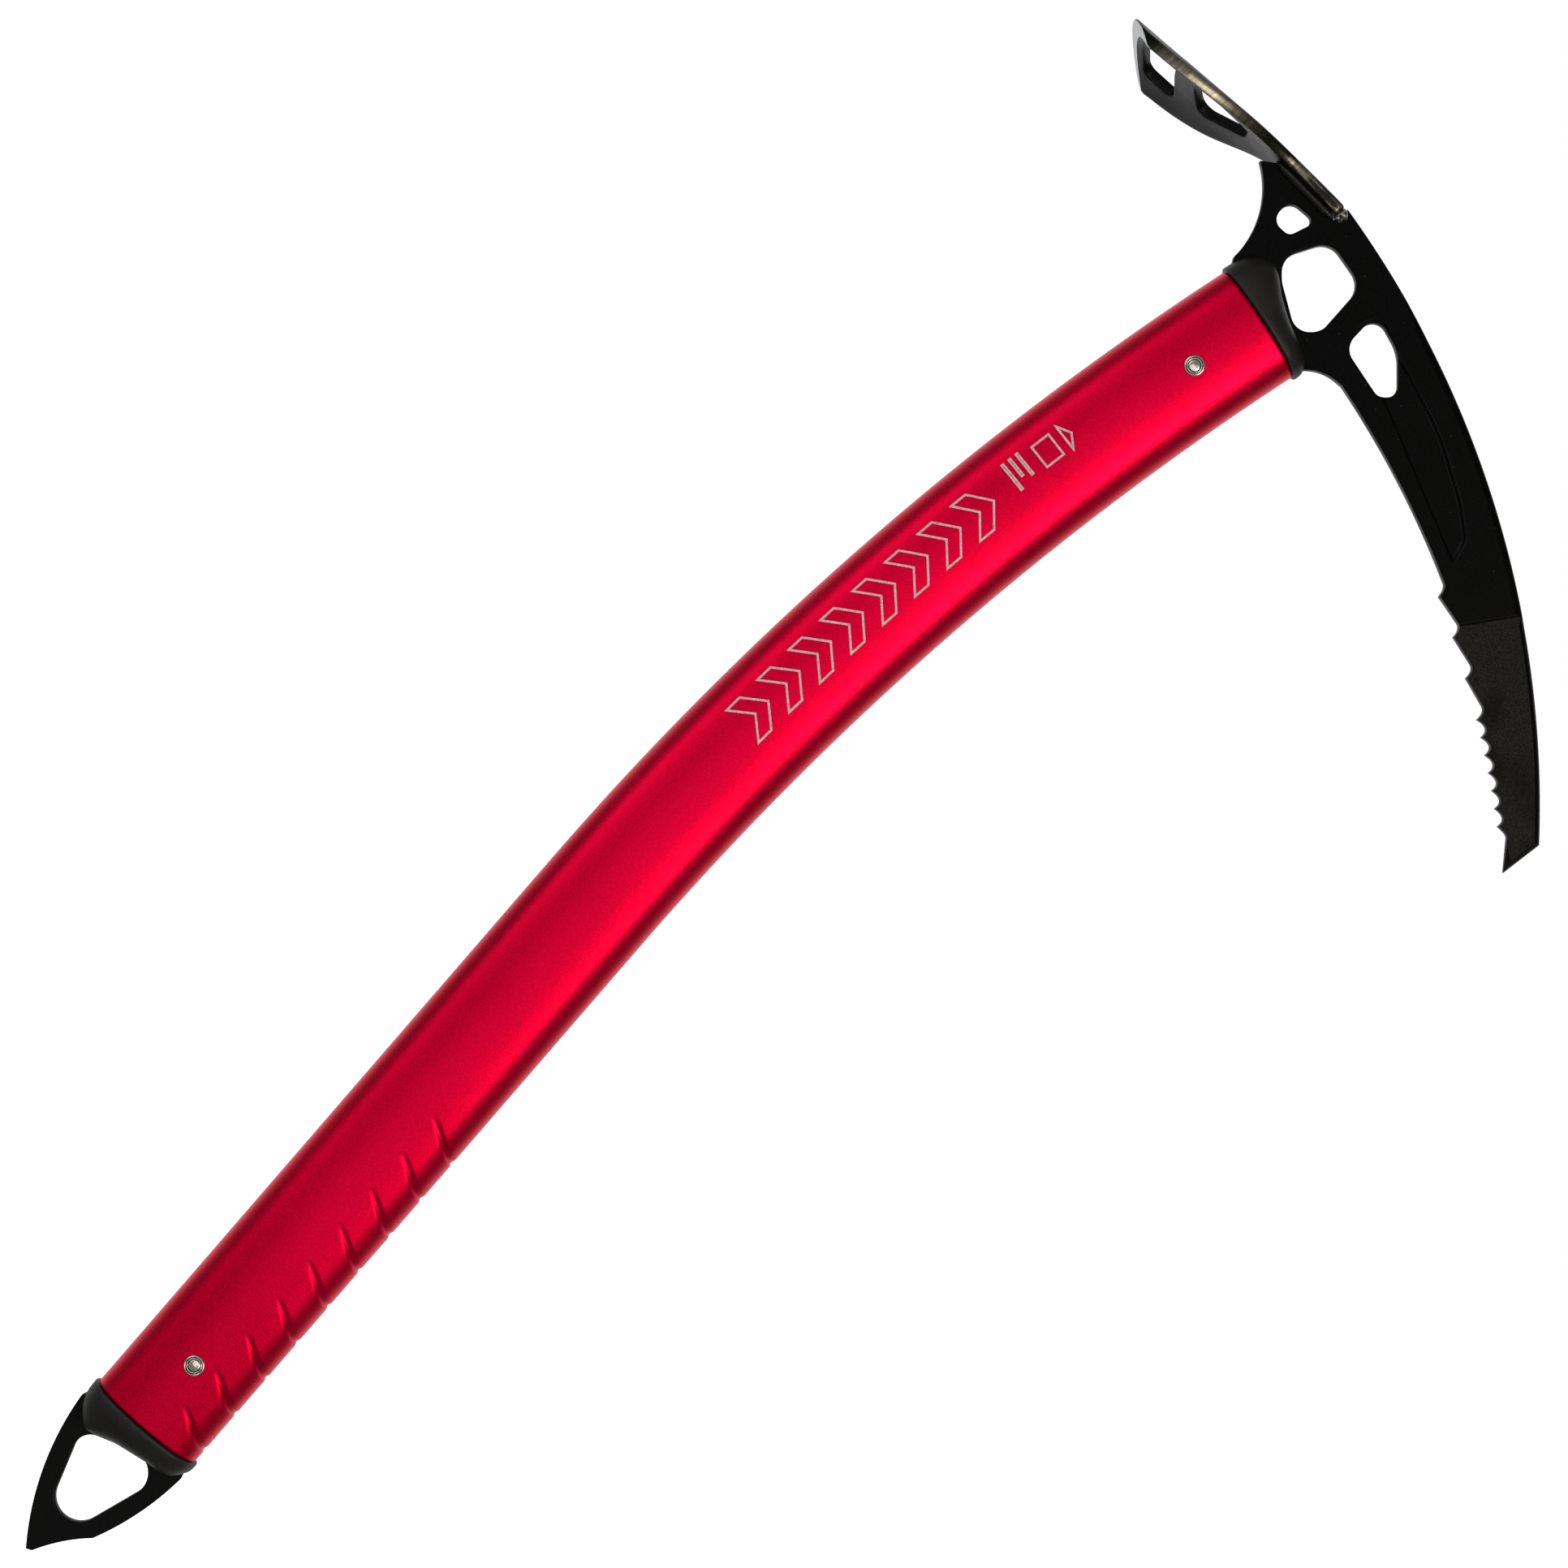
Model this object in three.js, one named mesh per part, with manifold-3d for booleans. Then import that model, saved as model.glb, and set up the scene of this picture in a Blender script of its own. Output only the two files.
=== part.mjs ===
// Ice axe, 450 mm long: steel head with pick and adze, bent oval alloy shaft, steel spike.
// Millimetres. +Z runs up the axe from spike to head, +X towards the pick, Y across the flat of the blade.
// The origin is the middle of the big eye in the head, where the axe hangs from a karabiner or a peg.

import * as THREE from 'three';
import { mergeVertices } from 'three/addons/utils/BufferGeometryUtils.js';
import Module from 'manifold-3d';

const wasm = await Module();
wasm.setup();

// ---- Driving dimensions ----------------------------------------------------------------------

const GAP = 0.3;                 // air left between pieces that touch on the real axe

// Shaft: an oval tube that runs straight from the spike, then bends forward under the head.
const SHAFT_FOOT = [-1.05, -390];   // x, z of the tube's lower end, on its centre line
const SHAFT_LEAN = 0.0862;          // radians the straight part leans back
const STRAIGHT_LENGTH = 164.6;
const BEND_RADIUS = 750.8;
const SHAFT_LENGTH = 375.5;         // along the centre line
const OVAL = { edge: 15, face: 9.5, edgeRadius: 8.5, faceRadius: 30.125 };
const WALL = 1.6;

// Grip: slanted grooves across the front edge of the lower shaft.
const GROOVES = { count: 9, first: 9.8, pitch: 11.32, slant: 0.58, height: 1.9, depth: 0.7, start: 4.4 };

// Plates.
const HEAD_THICKNESS = 4;
const PICK_TIP_THICKNESS = 3.2;
const SPIKE_THICKNESS = 3;
const TANG = { halfWidth: 10.5, length: 38 };
const FLUTE_DEPTH = 0.9;

// Adze.
const ADZE = { thickness: 2.8, neckX: -24, crownZ: 18, droop: 0.095, archRadius: 60, edgeSkew: 0.08 };
const TONGUE_END = -9.4;

// Teeth: tips lie on one arc under the pick.
const TOOTH_LINE = { x: -32.5, z: -271, radius: 262.8, firstAngle: 0.4138 };
const BIG_TEETH = { count: 3, pitch: 10.3, depth: 2.15 };
const SMALL_TEETH = { count: 6, pitch: 4.35, depth: 3.1 };

// Rivets go through the tube, the packers and the tang.
const RIVET = { shank: 2, head: 2.5, headHeight: 0.9, hole: 2.3, fromEnd: 19.5 };

// ---- Materials -------------------------------------------------------------------------------

function steel(colour, roughness) {
  return new THREE.MeshStandardMaterial({ color: colour, roughness, metalness: 0.85 });
}

function plastic(colour) {
  return new THREE.MeshStandardMaterial({ color: colour, roughness: 0.6, metalness: 0 });
}

const blackSteel = () => steel('#131413', 0.5);
const weldSteel = () => steel('#22211e', 0.45);
const rivetSteel = () => steel('#b9b2a6', 0.3);
const redAlloy = () => new THREE.MeshStandardMaterial({ color: '#c1002c', roughness: 0.35, metalness: 0.7 });
const blackPlastic = () => plastic('#1c1c1a');
const greyPlastic = () => plastic('#4b4b48');

// ---- Solids and booleans ---------------------------------------------------------------------

function toSolid(geometry) {
  const bare = geometry.clone();
  bare.deleteAttribute('normal');
  bare.deleteAttribute('uv');
  const welded = mergeVertices(bare, 1e-4);
  return new wasm.Manifold(new wasm.Mesh({
    numProp: 3,
    vertProperties: new Float32Array(welded.attributes.position.array),
    triVerts: new Uint32Array(welded.index.array),
  }));
}

function toMesh(name, solid, material) {
  const mesh = solid.getMesh();
  const geometry = new THREE.BufferGeometry();
  geometry.setAttribute('position', new THREE.BufferAttribute(mesh.vertProperties, 3));
  geometry.setIndex(new THREE.BufferAttribute(mesh.triVerts, 1));
  geometry.computeVertexNormals();
  const result = new THREE.Mesh(geometry, material);
  result.name = name;
  return result;
}

// A flat outline drawn in x and z, as a slab of the given thickness centred on the plane y.
function slab(shape, thickness, y = 0, segments = 8) {
  const geometry = new THREE.ExtrudeGeometry(shape, {
    depth: thickness, bevelEnabled: false, curveSegments: segments,
  });
  geometry.rotateX(Math.PI / 2);
  geometry.translate(0, y + thickness / 2, 0);
  return toSolid(geometry);
}

function pinAcross(x, z, radius, length, sides = 20) {
  const geometry = new THREE.CylinderGeometry(radius, radius, length, sides);
  geometry.translate(x, 0, z);
  return toSolid(geometry);
}

// ---- Outlines --------------------------------------------------------------------------------

// Draws corners [x, z, radius] as straight edges joined by true arcs.
function roundCorners(path, corners) {
  const count = corners.length;
  corners.forEach(([x, z, radius], i) => {
    const corner = new THREE.Vector2(x, z);
    const before = corners[(i + count - 1) % count];
    const after = corners[(i + 1) % count];
    const back = new THREE.Vector2(before[0] - x, before[1] - z).normalize();
    const ahead = new THREE.Vector2(after[0] - x, after[1] - z).normalize();
    const half = Math.acos(back.dot(ahead)) / 2;
    const setback = radius / Math.tan(half);
    const start = corner.clone().addScaledVector(back, setback);
    const end = corner.clone().addScaledVector(ahead, setback);
    const middle = back.clone().add(ahead).setLength(radius / Math.sin(half)).add(corner);
    const from = Math.atan2(start.y - middle.y, start.x - middle.x);
    const to = Math.atan2(end.y - middle.y, end.x - middle.x);
    const clockwise = back.cross(ahead) > 0;
    path.absarc(middle.x, middle.y, radius, from, to, clockwise);
  });
  path.closePath();
  return path;
}

// The tube's oval: two edge arcs and two face arcs. u is across the faces, v towards the pick.
function ovalShape(inset) {
  const { edge, face, edgeRadius, faceRadius } = OVAL;
  const edgeCentre = edge - edgeRadius;
  const faceCentre = faceRadius - face;
  const joint = Math.atan2(edgeCentre, faceCentre);
  const turn = Math.PI / 2;
  const small = edgeRadius - inset;
  const large = faceRadius - inset;
  const shape = new THREE.Shape();
  shape.absarc(-faceCentre, 0, large, -joint, joint);
  shape.absarc(0, edgeCentre, small, joint, 2 * turn - joint);
  shape.absarc(faceCentre, 0, large, 2 * turn - joint, 2 * turn + joint);
  shape.absarc(0, -edgeCentre, small, 2 * turn + joint, 4 * turn - joint);
  return shape;
}

// ---- Shaft centre line -----------------------------------------------------------------------

// The part of the centre line between two distances from the spike end.
class ShaftLine extends THREE.Curve {
  constructor(from, to) {
    super();
    this.from = from;
    this.to = to;
  }

  getPoint(t, target = new THREE.Vector3()) {
    const along = this.from + (this.to - this.from) * t;
    const straight = Math.min(along, STRAIGHT_LENGTH);
    const angle = (along - straight) / BEND_RADIUS - SHAFT_LEAN;
    const kneeX = SHAFT_FOOT[0] - straight * Math.sin(SHAFT_LEAN);
    const kneeZ = SHAFT_FOOT[1] + straight * Math.cos(SHAFT_LEAN);
    const x = kneeX + BEND_RADIUS * (Math.cos(SHAFT_LEAN) - Math.cos(angle));
    const z = kneeZ + BEND_RADIUS * (Math.sin(angle) + Math.sin(SHAFT_LEAN));
    return target.set(x, 0, z);
  }
}

// Turns a place beside the centre line (side towards the pick, up the shaft) into [x, z].
function shaftPlace(along) {
  const line = new ShaftLine(along, along + 1);
  const origin = line.getPoint(0);
  const up = line.getPoint(0.01).sub(origin).normalize();
  return (side, rise) => [origin.x + side * up.z + rise * up.x, origin.z - side * up.x + rise * up.z];
}

function alongShaft(shape, from, to, steps, segments) {
  return toSolid(new THREE.ExtrudeGeometry(shape, {
    steps, curveSegments: segments, bevelEnabled: false, extrudePath: new ShaftLine(from, to),
  }));
}

const atHeadEnd = shaftPlace(SHAFT_LENGTH);
const atSpikeEnd = shaftPlace(0);
const headRivetPlace = shaftPlace(SHAFT_LENGTH - RIVET.fromEnd)(0, 0);
const spikeRivetPlace = shaftPlace(RIVET.fromEnd)(0, 0);

// ---- Shaft tube ------------------------------------------------------------------------------

// One groove is a crescent, deepest on the front edge and running out on both faces,
// sheared so that it slants down towards that edge.
function gripGroove(along) {
  const { height, depth, start } = GROOVES;
  const across = OVAL.face + 2;
  const outside = OVAL.edge + 2;
  const cutter = new THREE.BoxGeometry(2 * across, outside - start, height);
  cutter.translate(0, (outside + start) / 2, height / 2);
  const core = new THREE.ExtrudeGeometry(ovalShape(0), {
    depth: 3 * height, bevelEnabled: false, curveSegments: 10,
  });
  core.translate(0, -depth, -height);
  const crescent = toSolid(cutter).subtract(toSolid(core));
  const tilt = Math.tan(GROOVES.slant);
  const [x, z] = shaftPlace(along)(0, 0);
  const lean = -SHAFT_LEAN;
  // Before the shear: x is across the faces, y towards the pick and z up the shaft.
  return crescent.warp((p) => {
    const [face, side, level] = p;
    const rise = level - (side - start) * tilt;
    p[0] = x + side * Math.cos(lean) + rise * Math.sin(lean);
    p[1] = -face;
    p[2] = z - side * Math.sin(lean) + rise * Math.cos(lean);
  });
}

function shaftTube() {
  const section = ovalShape(0);
  section.holes.push(new THREE.Path(ovalShape(WALL).getPoints(6)));
  let tube = alongShaft(section, 0, SHAFT_LENGTH, 30, 7);
  for (const place of [headRivetPlace, spikeRivetPlace]) {
    tube = tube.subtract(pinAcross(...place, RIVET.hole, 40));
  }
  for (let i = 0; i < GROOVES.count; i += 1) {
    tube = tube.subtract(gripGroove(GROOVES.first + i * GROOVES.pitch));
  }
  return toMesh('shaft_tube', tube, redAlloy());
}

// ---- Head plate: pick, eyes and tang in one steel plate --------------------------------------

// A place on the tooth arc: distance past the first tip, and height above the tip line.
function toothPlace(along, height) {
  const angle = TOOTH_LINE.firstAngle + along / TOOTH_LINE.radius;
  const radius = TOOTH_LINE.radius + height;
  return [TOOTH_LINE.x + radius * Math.sin(angle), TOOTH_LINE.z + radius * Math.cos(angle)];
}

function drawTeeth(outline) {
  outline.quadraticCurveTo(...toothPlace(-1.2, 2), ...toothPlace(0, 0));
  let along = 0;
  for (let i = 0; i < BIG_TEETH.count; i += 1) {
    const { pitch, depth } = BIG_TEETH;
    outline.lineTo(...toothPlace(along + 0.68 * pitch, 0.85 * depth));
    outline.quadraticCurveTo(...toothPlace(along + 0.87 * pitch, 1.25 * depth), ...toothPlace(along + pitch, 0));
    along += pitch;
  }
  for (let i = 0; i < SMALL_TEETH.count; i += 1) {
    const { pitch, depth } = SMALL_TEETH;
    outline.quadraticCurveTo(...toothPlace(along + 0.67 * pitch, depth), ...toothPlace(along + pitch, 0));
    along += pitch;
  }
}

function headOutline() {
  const { halfWidth, length } = TANG;
  const outline = new THREE.Shape();
  outline.moveTo(...atHeadEnd(-halfWidth, -length));
  outline.lineTo(...atHeadEnd(halfWidth, -length));
  outline.lineTo(...atHeadEnd(halfWidth, GAP));
  outline.lineTo(...atHeadEnd(14, GAP));
  outline.lineTo(...atHeadEnd(14, 1));
  // Fillet under the head, then the long hollow curve to the first tooth.
  outline.bezierCurveTo(11.6, -15.6, 14.6, -12.1, 20.5, -12.1);
  outline.absarc(-21.6, -245.2, 237, 1.3924, 1.1655, true);
  drawTeeth(outline);
  outline.quadraticCurveTo(125.6, -58.4, 126.1, -59.3);
  outline.lineTo(131.3, -65.6);
  // Top of the pick, back to the step where the adze is welded on.
  outline.absarc(-43.8, -222.5, 243.4, 0.7605, 1.4255, false);
  outline.lineTo(-9.1, 14.2);
  outline.lineTo(-28.2, 14.1);
  outline.absarc(-42.7, -8.9, 23.2, 1.0714, 0, true);
  outline.lineTo(...atHeadEnd(-14, 1));
  outline.lineTo(...atHeadEnd(-14, GAP));
  outline.lineTo(...atHeadEnd(-halfWidth, GAP));
  outline.closePath();
  return outline;
}

const LEASH_HOLE = [[-20, 10.1, 3], [-19.3, 3.5, 2.8], [-13.9, 3.9, 2], [-11.7, 10.9, 1.6]];
const HEAD_EYE = [[-5.9, 10.1, 5], [-11.4, -0.9, 5], [-7.2, -5, 8], [3.7, -11.1, 4.5], [8, -6.6, 5], [6.9, 8, 5]];
const PICK_HOLE = [[14.1, 5.9, 3.4], [14.6, -5.2, 4.2], [28.6, -7.8, 2.6], [32, -4.3, 2.6], [24.2, 3.3, 10]];

function headPlate() {
  const outline = headOutline();
  for (const corners of [LEASH_HOLE, HEAD_EYE, PICK_HOLE]) {
    outline.holes.push(roundCorners(new THREE.Path(), corners));
  }
  let plate = slab(outline, HEAD_THICKNESS, 0, 12);
  const flute = roundCorners(new THREE.Shape(), [[24, -5.5, 1], [71.5, -24.2, 0.8], [67, -14.5, 2.5], [24, 3, 1]]);
  const tipZone = roundCorners(new THREE.Shape(), [[80.5, -34, 1], [125, -80, 1], [150, -50, 1], [90.5, -14, 1]]);
  const half = HEAD_THICKNESS / 2;
  for (const side of [-1, 1]) {
    plate = plate.subtract(slab(flute, 2 * FLUTE_DEPTH, side * half));
    plate = plate.subtract(slab(tipZone, HEAD_THICKNESS - PICK_TIP_THICKNESS, side * half));
  }
  plate = plate.subtract(pinAcross(...headRivetPlace, RIVET.hole, 10));
  return toMesh('head_plate', plate, blackSteel());
}

// ---- Adze: arched plate with two windows and a tongue welded along the head ------------------

function adzeOutline() {
  const outline = new THREE.Shape();
  outline.moveTo(TONGUE_END, -3.5);
  outline.quadraticCurveTo(TONGUE_END, -5, TONGUE_END - 2, -5);
  outline.lineTo(-25, -5.5);
  outline.bezierCurveTo(-38, -9.5, -42, -21.5, -64, -22.4);
  outline.quadraticCurveTo(-69.5, -23.4, -71, -20.6);
  outline.quadraticCurveTo(-81.6, 0, -71, 20.6);
  outline.quadraticCurveTo(-69.5, 23.4, -64, 22.4);
  outline.bezierCurveTo(-42, 21.5, -38, 9.5, -25, 5.5);
  outline.lineTo(TONGUE_END - 2, 5);
  outline.quadraticCurveTo(TONGUE_END, 5, TONGUE_END, 3.5);
  outline.closePath();
  return outline;
}

const ADZE_WINDOWS = [
  [[-68.6, -14.8, 3], [-58.9, -15.4, 2], [-61.6, 0, 40], [-58.9, 15.4, 2], [-68.6, 14.8, 3], [-71.8, 0, 40]],
  [[-51.8, -12.6, 3], [-38.4, -3.8, 2.5], [-38.4, 3.8, 2.5], [-51.8, 12.6, 3], [-56, 0, 20]],
];

// A plan outline (x, y) as an upright prism tall enough to pass through the arched plate.
function planPrism(shape) {
  const geometry = new THREE.ExtrudeGeometry(shape, { depth: 50, bevelEnabled: false, curveSegments: 8 });
  geometry.translate(0, 0, -20);
  return toSolid(geometry).warp((p) => {
    const beyond = Math.max(0, ADZE.neckX - p[0]);
    p[0] += ADZE.edgeSkew * p[1] * Math.min(1, beyond / 25);
  });
}

// An arched strip: curved across, level over the head plate and drooping steadily beyond its neck.
function archedStrip() {
  const { thickness, neckX, crownZ, droop, archRadius } = ADZE;
  const strip = toSolid(new THREE.BoxGeometry(80, 60, thickness, 16, 16, 1));
  return strip.warp((p) => {
    const x = p[0] - 45;
    const beyond = neckX - x;
    const bow = droop * (Math.hypot(beyond, 6) + beyond) / 2;
    const arch = p[1] ** 2 / (2 * archRadius);
    p[0] = x;
    p[2] += crownZ - thickness / 2 - bow - arch;
  });
}

function adzeBlade() {
  let blade = archedStrip().intersect(planPrism(adzeOutline()));
  for (const corners of ADZE_WINDOWS) {
    blade = blade.subtract(planPrism(roundCorners(new THREE.Shape(), corners)));
  }
  return toMesh('adze_blade', blade, blackSteel());
}

// A fillet bead in the corner between the tongue and one face of the head plate.
function adzeWeld(name, side) {
  const inner = HEAD_THICKNESS / 2 + 0.1;
  const bead = new THREE.Shape();
  bead.moveTo(inner, 14.2);
  bead.lineTo(inner, 12.2);
  bead.quadraticCurveTo(inner + 0.9, 13.1, inner + 2.2, 14.2);
  bead.closePath();
  const geometry = new THREE.ExtrudeGeometry(bead, { depth: 16.5, bevelEnabled: false, curveSegments: 5 });
  geometry.rotateX(Math.PI / 2);
  geometry.rotateZ(Math.PI / 2);
  geometry.translate(-28, 0, 0);
  const solid = toSolid(geometry);
  return toMesh(name, side > 0 ? solid : solid.mirror([0, 1, 0]), weldSteel());
}

function adzeWeldEnd() {
  const tack = new THREE.SphereGeometry(1.5, 12, 8);
  tack.scale(0.9, 0.55, 1.1);
  tack.translate(-7.6, -HEAD_THICKNESS / 2 - 0.95, 16);
  return toMesh('adze_weld_end', toSolid(tack), weldSteel());
}

// ---- Collars: moulded caps that close the tube around the plates -----------------------------

// A soft-edged block that follows a side outline, cut off where the tube ends.
function collar(name, outline, place, direction, plateThickness) {
  const geometry = new THREE.ExtrudeGeometry(outline, {
    depth: 8.6, bevelEnabled: true, bevelThickness: 6, bevelSize: 3, bevelOffset: -3,
    bevelSegments: 4, curveSegments: 8,
  });
  geometry.rotateX(Math.PI / 2);
  geometry.translate(0, 4.3, 0);
  const block = toSolid(geometry);
  const sleeve = new THREE.ExtrudeGeometry(ovalShape(-0.8), { depth: 40, bevelEnabled: false, curveSegments: 10 });
  sleeve.translate(0, 0, -20 + (20 + GAP / 2) * direction);
  const [originX, originZ] = place(0, 0);
  const [upX, upZ] = place(0, 1);
  const lean = Math.atan2(upX - originX, upZ - originZ);
  const shell = toSolid(sleeve).warp((p) => {
    const [across, side, rise] = p;
    p[0] = originX + side * Math.cos(lean) + rise * Math.sin(lean);
    p[1] = -across;
    p[2] = originZ - side * Math.sin(lean) + rise * Math.cos(lean);
  });
  const slot = new THREE.Shape();
  slot.moveTo(...place(-14.3, -direction));
  slot.lineTo(...place(14.3, -direction));
  slot.lineTo(...place(14.3, direction));
  slot.lineTo(...place(18, direction * 4));
  slot.lineTo(...place(18, direction * 20));
  slot.lineTo(...place(-18, direction * 20));
  slot.lineTo(...place(-18, direction * 4));
  slot.lineTo(...place(-14.3, direction));
  slot.closePath();
  const solid = block.intersect(shell).subtract(slab(slot, plateThickness + 2 * GAP));
  return toMesh(name, solid, blackPlastic());
}

function headCollar() {
  const outline = new THREE.Shape();
  outline.moveTo(...atHeadEnd(-19, -12));
  outline.lineTo(...atHeadEnd(19, -12));
  outline.lineTo(...atHeadEnd(16.6, 0));
  outline.bezierCurveTo(12.5, -13, 4, -13.5, -3, -9);
  outline.bezierCurveTo(-8, -5.5, -11, -2.5, -15, -4.6);
  outline.bezierCurveTo(-19.4, -6.2, -21.4, -8.6, -21, -14);
  outline.closePath();
  return collar('head_collar', outline, atHeadEnd, 1, HEAD_THICKNESS);
}

function spikeCollar() {
  const outline = new THREE.Shape();
  outline.moveTo(...atSpikeEnd(19, 12));
  outline.lineTo(...atSpikeEnd(-19, 12));
  outline.lineTo(-17.6, -391);
  outline.bezierCurveTo(-18, -397, -13.5, -402.6, -9.6, -401.3);
  outline.bezierCurveTo(-5, -399.4, 2, -396.8, 7.6, -396);
  outline.bezierCurveTo(12, -395.4, 15.4, -394.4, 16, -389);
  outline.closePath();
  return collar('spike_collar', outline, atSpikeEnd, -1, SPIKE_THICKNESS);
}

// ---- Packers: fill the tube on both sides of a tang ------------------------------------------

function packer(name, from, to, plateThickness, side, rivetPlace) {
  const plug = alongShaft(ovalShape(WALL + GAP), from, to, 3, 6);
  const reach = 40;
  const inner = plateThickness / 2 + GAP;
  const keep = new THREE.BoxGeometry(2 * reach, reach, SHAFT_LENGTH + 200);
  keep.translate(0, side * (inner + reach / 2), -200);
  const solid = plug.intersect(toSolid(keep)).subtract(pinAcross(...rivetPlace, RIVET.hole, 40));
  return toMesh(name, solid, greyPlastic());
}

// ---- Spike -----------------------------------------------------------------------------------

const SPIKE_EYE = [[-10.7, -402.6, 4.2], [2.2, -432.8, 6], [12.2, -392.7, 5.6]];

function spikePlate() {
  const { halfWidth, length } = TANG;
  const outline = new THREE.Shape();
  outline.moveTo(...atSpikeEnd(halfWidth, length));
  outline.lineTo(...atSpikeEnd(-halfWidth, length));
  outline.lineTo(...atSpikeEnd(-halfWidth, -GAP));
  outline.lineTo(...atSpikeEnd(-14, -GAP));
  outline.lineTo(...atSpikeEnd(-14, -1));
  // Back edge down to the point, a short hollow, then the front edge.
  outline.absarc(54.5, -384.1, 72.1, -2.966, -2.416, false);
  outline.lineTo(1.9, -431.2);
  outline.quadraticCurveTo(5, -424, 9.9, -418.8);
  outline.absarc(-55.7, -393.9, 70.2, -0.361, 0, false);
  outline.lineTo(...atSpikeEnd(14, -1));
  outline.lineTo(...atSpikeEnd(14, -GAP));
  outline.lineTo(...atSpikeEnd(halfWidth, -GAP));
  outline.closePath();
  outline.holes.push(roundCorners(new THREE.Path(), SPIKE_EYE));
  const plate = slab(outline, SPIKE_THICKNESS, 0, 10);
  return toMesh('spike_plate', plate.subtract(pinAcross(...spikeRivetPlace, RIVET.hole, 10)), blackSteel());
}

// ---- Rivets ----------------------------------------------------------------------------------

// A semi-tubular rivet: rolled head with a recess on the near side, low domed head on the far side.
function rivet(name, place) {
  const { shank, head, headHeight } = RIVET;
  const face = OVAL.face + 0.15;
  const top = face + headHeight;
  const profile = [
    [0, -top], [head * 0.55, -top + 0.1], [head * 0.95, -top + 0.45], [head, -face],
    [shank, -face], [shank, face], [head, face], [head * 0.9, top - 0.2],
    [head * 0.68, top], [head * 0.5, top - 0.6], [0, top - 1.3],
  ].map(([radius, height]) => new THREE.Vector2(radius, height));
  const geometry = new THREE.LatheGeometry(profile, 24);
  geometry.rotateX(Math.PI);
  geometry.translate(place[0], 0, place[1]);
  return toMesh(name, toSolid(geometry), rivetSteel());
}

// ---- Assembly --------------------------------------------------------------------------------

const axe = new THREE.Group();
axe.add(headPlate());
axe.add(adzeBlade());
axe.add(adzeWeld('adze_weld_left', -1));
axe.add(adzeWeld('adze_weld_right', 1));
axe.add(adzeWeldEnd());
axe.add(shaftTube());
axe.add(headCollar());
axe.add(spikeCollar());

const packerLength = TANG.length;
for (const [word, side] of [['left', -1], ['right', 1]]) {
  axe.add(packer(`head_packer_${word}`, SHAFT_LENGTH - packerLength, SHAFT_LENGTH - 0.2,
    HEAD_THICKNESS, side, headRivetPlace));
  axe.add(packer(`spike_packer_${word}`, 0.2, packerLength, SPIKE_THICKNESS, side, spikeRivetPlace));
}
axe.add(spikePlate());
axe.add(rivet('head_rivet', headRivetPlace));
axe.add(rivet('spike_rivet', spikeRivetPlace));

export default axe;
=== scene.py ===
import math
import random

import bmesh
import bpy
from mathutils import Matrix, Vector, noise
from mathutils.geometry import delaunay_2d_cdt


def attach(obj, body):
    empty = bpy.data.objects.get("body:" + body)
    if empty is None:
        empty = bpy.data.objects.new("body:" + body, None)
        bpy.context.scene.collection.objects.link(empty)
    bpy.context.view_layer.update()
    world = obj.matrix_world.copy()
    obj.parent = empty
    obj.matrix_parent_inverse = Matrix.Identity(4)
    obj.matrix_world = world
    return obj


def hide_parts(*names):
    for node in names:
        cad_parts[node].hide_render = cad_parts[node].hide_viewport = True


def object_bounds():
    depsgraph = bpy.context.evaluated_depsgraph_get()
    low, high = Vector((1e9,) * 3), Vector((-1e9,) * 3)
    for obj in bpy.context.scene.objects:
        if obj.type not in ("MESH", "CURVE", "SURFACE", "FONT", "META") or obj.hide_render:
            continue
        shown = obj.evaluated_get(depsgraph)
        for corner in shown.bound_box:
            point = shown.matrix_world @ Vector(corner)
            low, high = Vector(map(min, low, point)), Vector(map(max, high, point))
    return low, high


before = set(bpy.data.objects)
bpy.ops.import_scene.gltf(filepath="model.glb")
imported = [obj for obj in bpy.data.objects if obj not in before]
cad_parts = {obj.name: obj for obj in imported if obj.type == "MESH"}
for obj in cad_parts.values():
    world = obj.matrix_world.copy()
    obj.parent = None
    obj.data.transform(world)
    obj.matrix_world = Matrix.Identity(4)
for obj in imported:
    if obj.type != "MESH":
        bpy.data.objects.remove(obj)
cad_low, cad_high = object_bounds()

# ==== Studio and camera =============================================================================
# The axe hangs in a white studio, seen square on to the flat of its blade, with its spike at the lower left.
# Softboxes light it from three sides: a warm one on the pick side, a wide one on the adze side and a weak
# one in front.

MM = 0.001
CAMERA_AIM = (-4.1 * MM, 0, -174.2 * MM)
CAMERA_DISTANCE = 900 * MM
CAMERA_ROLL = math.radians(45.8)    # how far the axe leans from upright, as it is seen
LENS, SENSOR = 86.2, 36             # millimetres
FLOOR_Z = cad_low.z - 12 * MM
FLOOR_REACH = 6                     # metres each way


def linear(hex_colour):
    """An sRGB hex colour as linear RGBA."""
    channels = [int(hex_colour[i:i + 2], 16) / 255 for i in (1, 3, 5)]
    return [c / 12.92 if c <= 0.04045 else ((c + 0.055) / 1.055) ** 2.4 for c in channels] + [1]


def set_inputs(tree, node, **inputs):
    """Sets or links a node's inputs by name, or by place where the key is n and a number."""
    for key, value in inputs.items():
        if key[0] == "n" and key[1:].isdigit():
            socket = node.inputs[int(key[1:])]
        else:
            socket = next(s for s in node.inputs if s.name == key.replace("_", " "))
        if isinstance(value, bpy.types.NodeSocket):
            tree.links.new(value, socket)
        else:
            socket.default_value = value


def add_node(tree, kind, settings=None, **inputs):
    """Adds a node. settings are its own properties, and inputs are values or links."""
    node = tree.nodes.new(kind)
    for key, value in (settings or {}).items():
        setattr(node, key, value)
    set_inputs(tree, node, **inputs)
    return node


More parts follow.
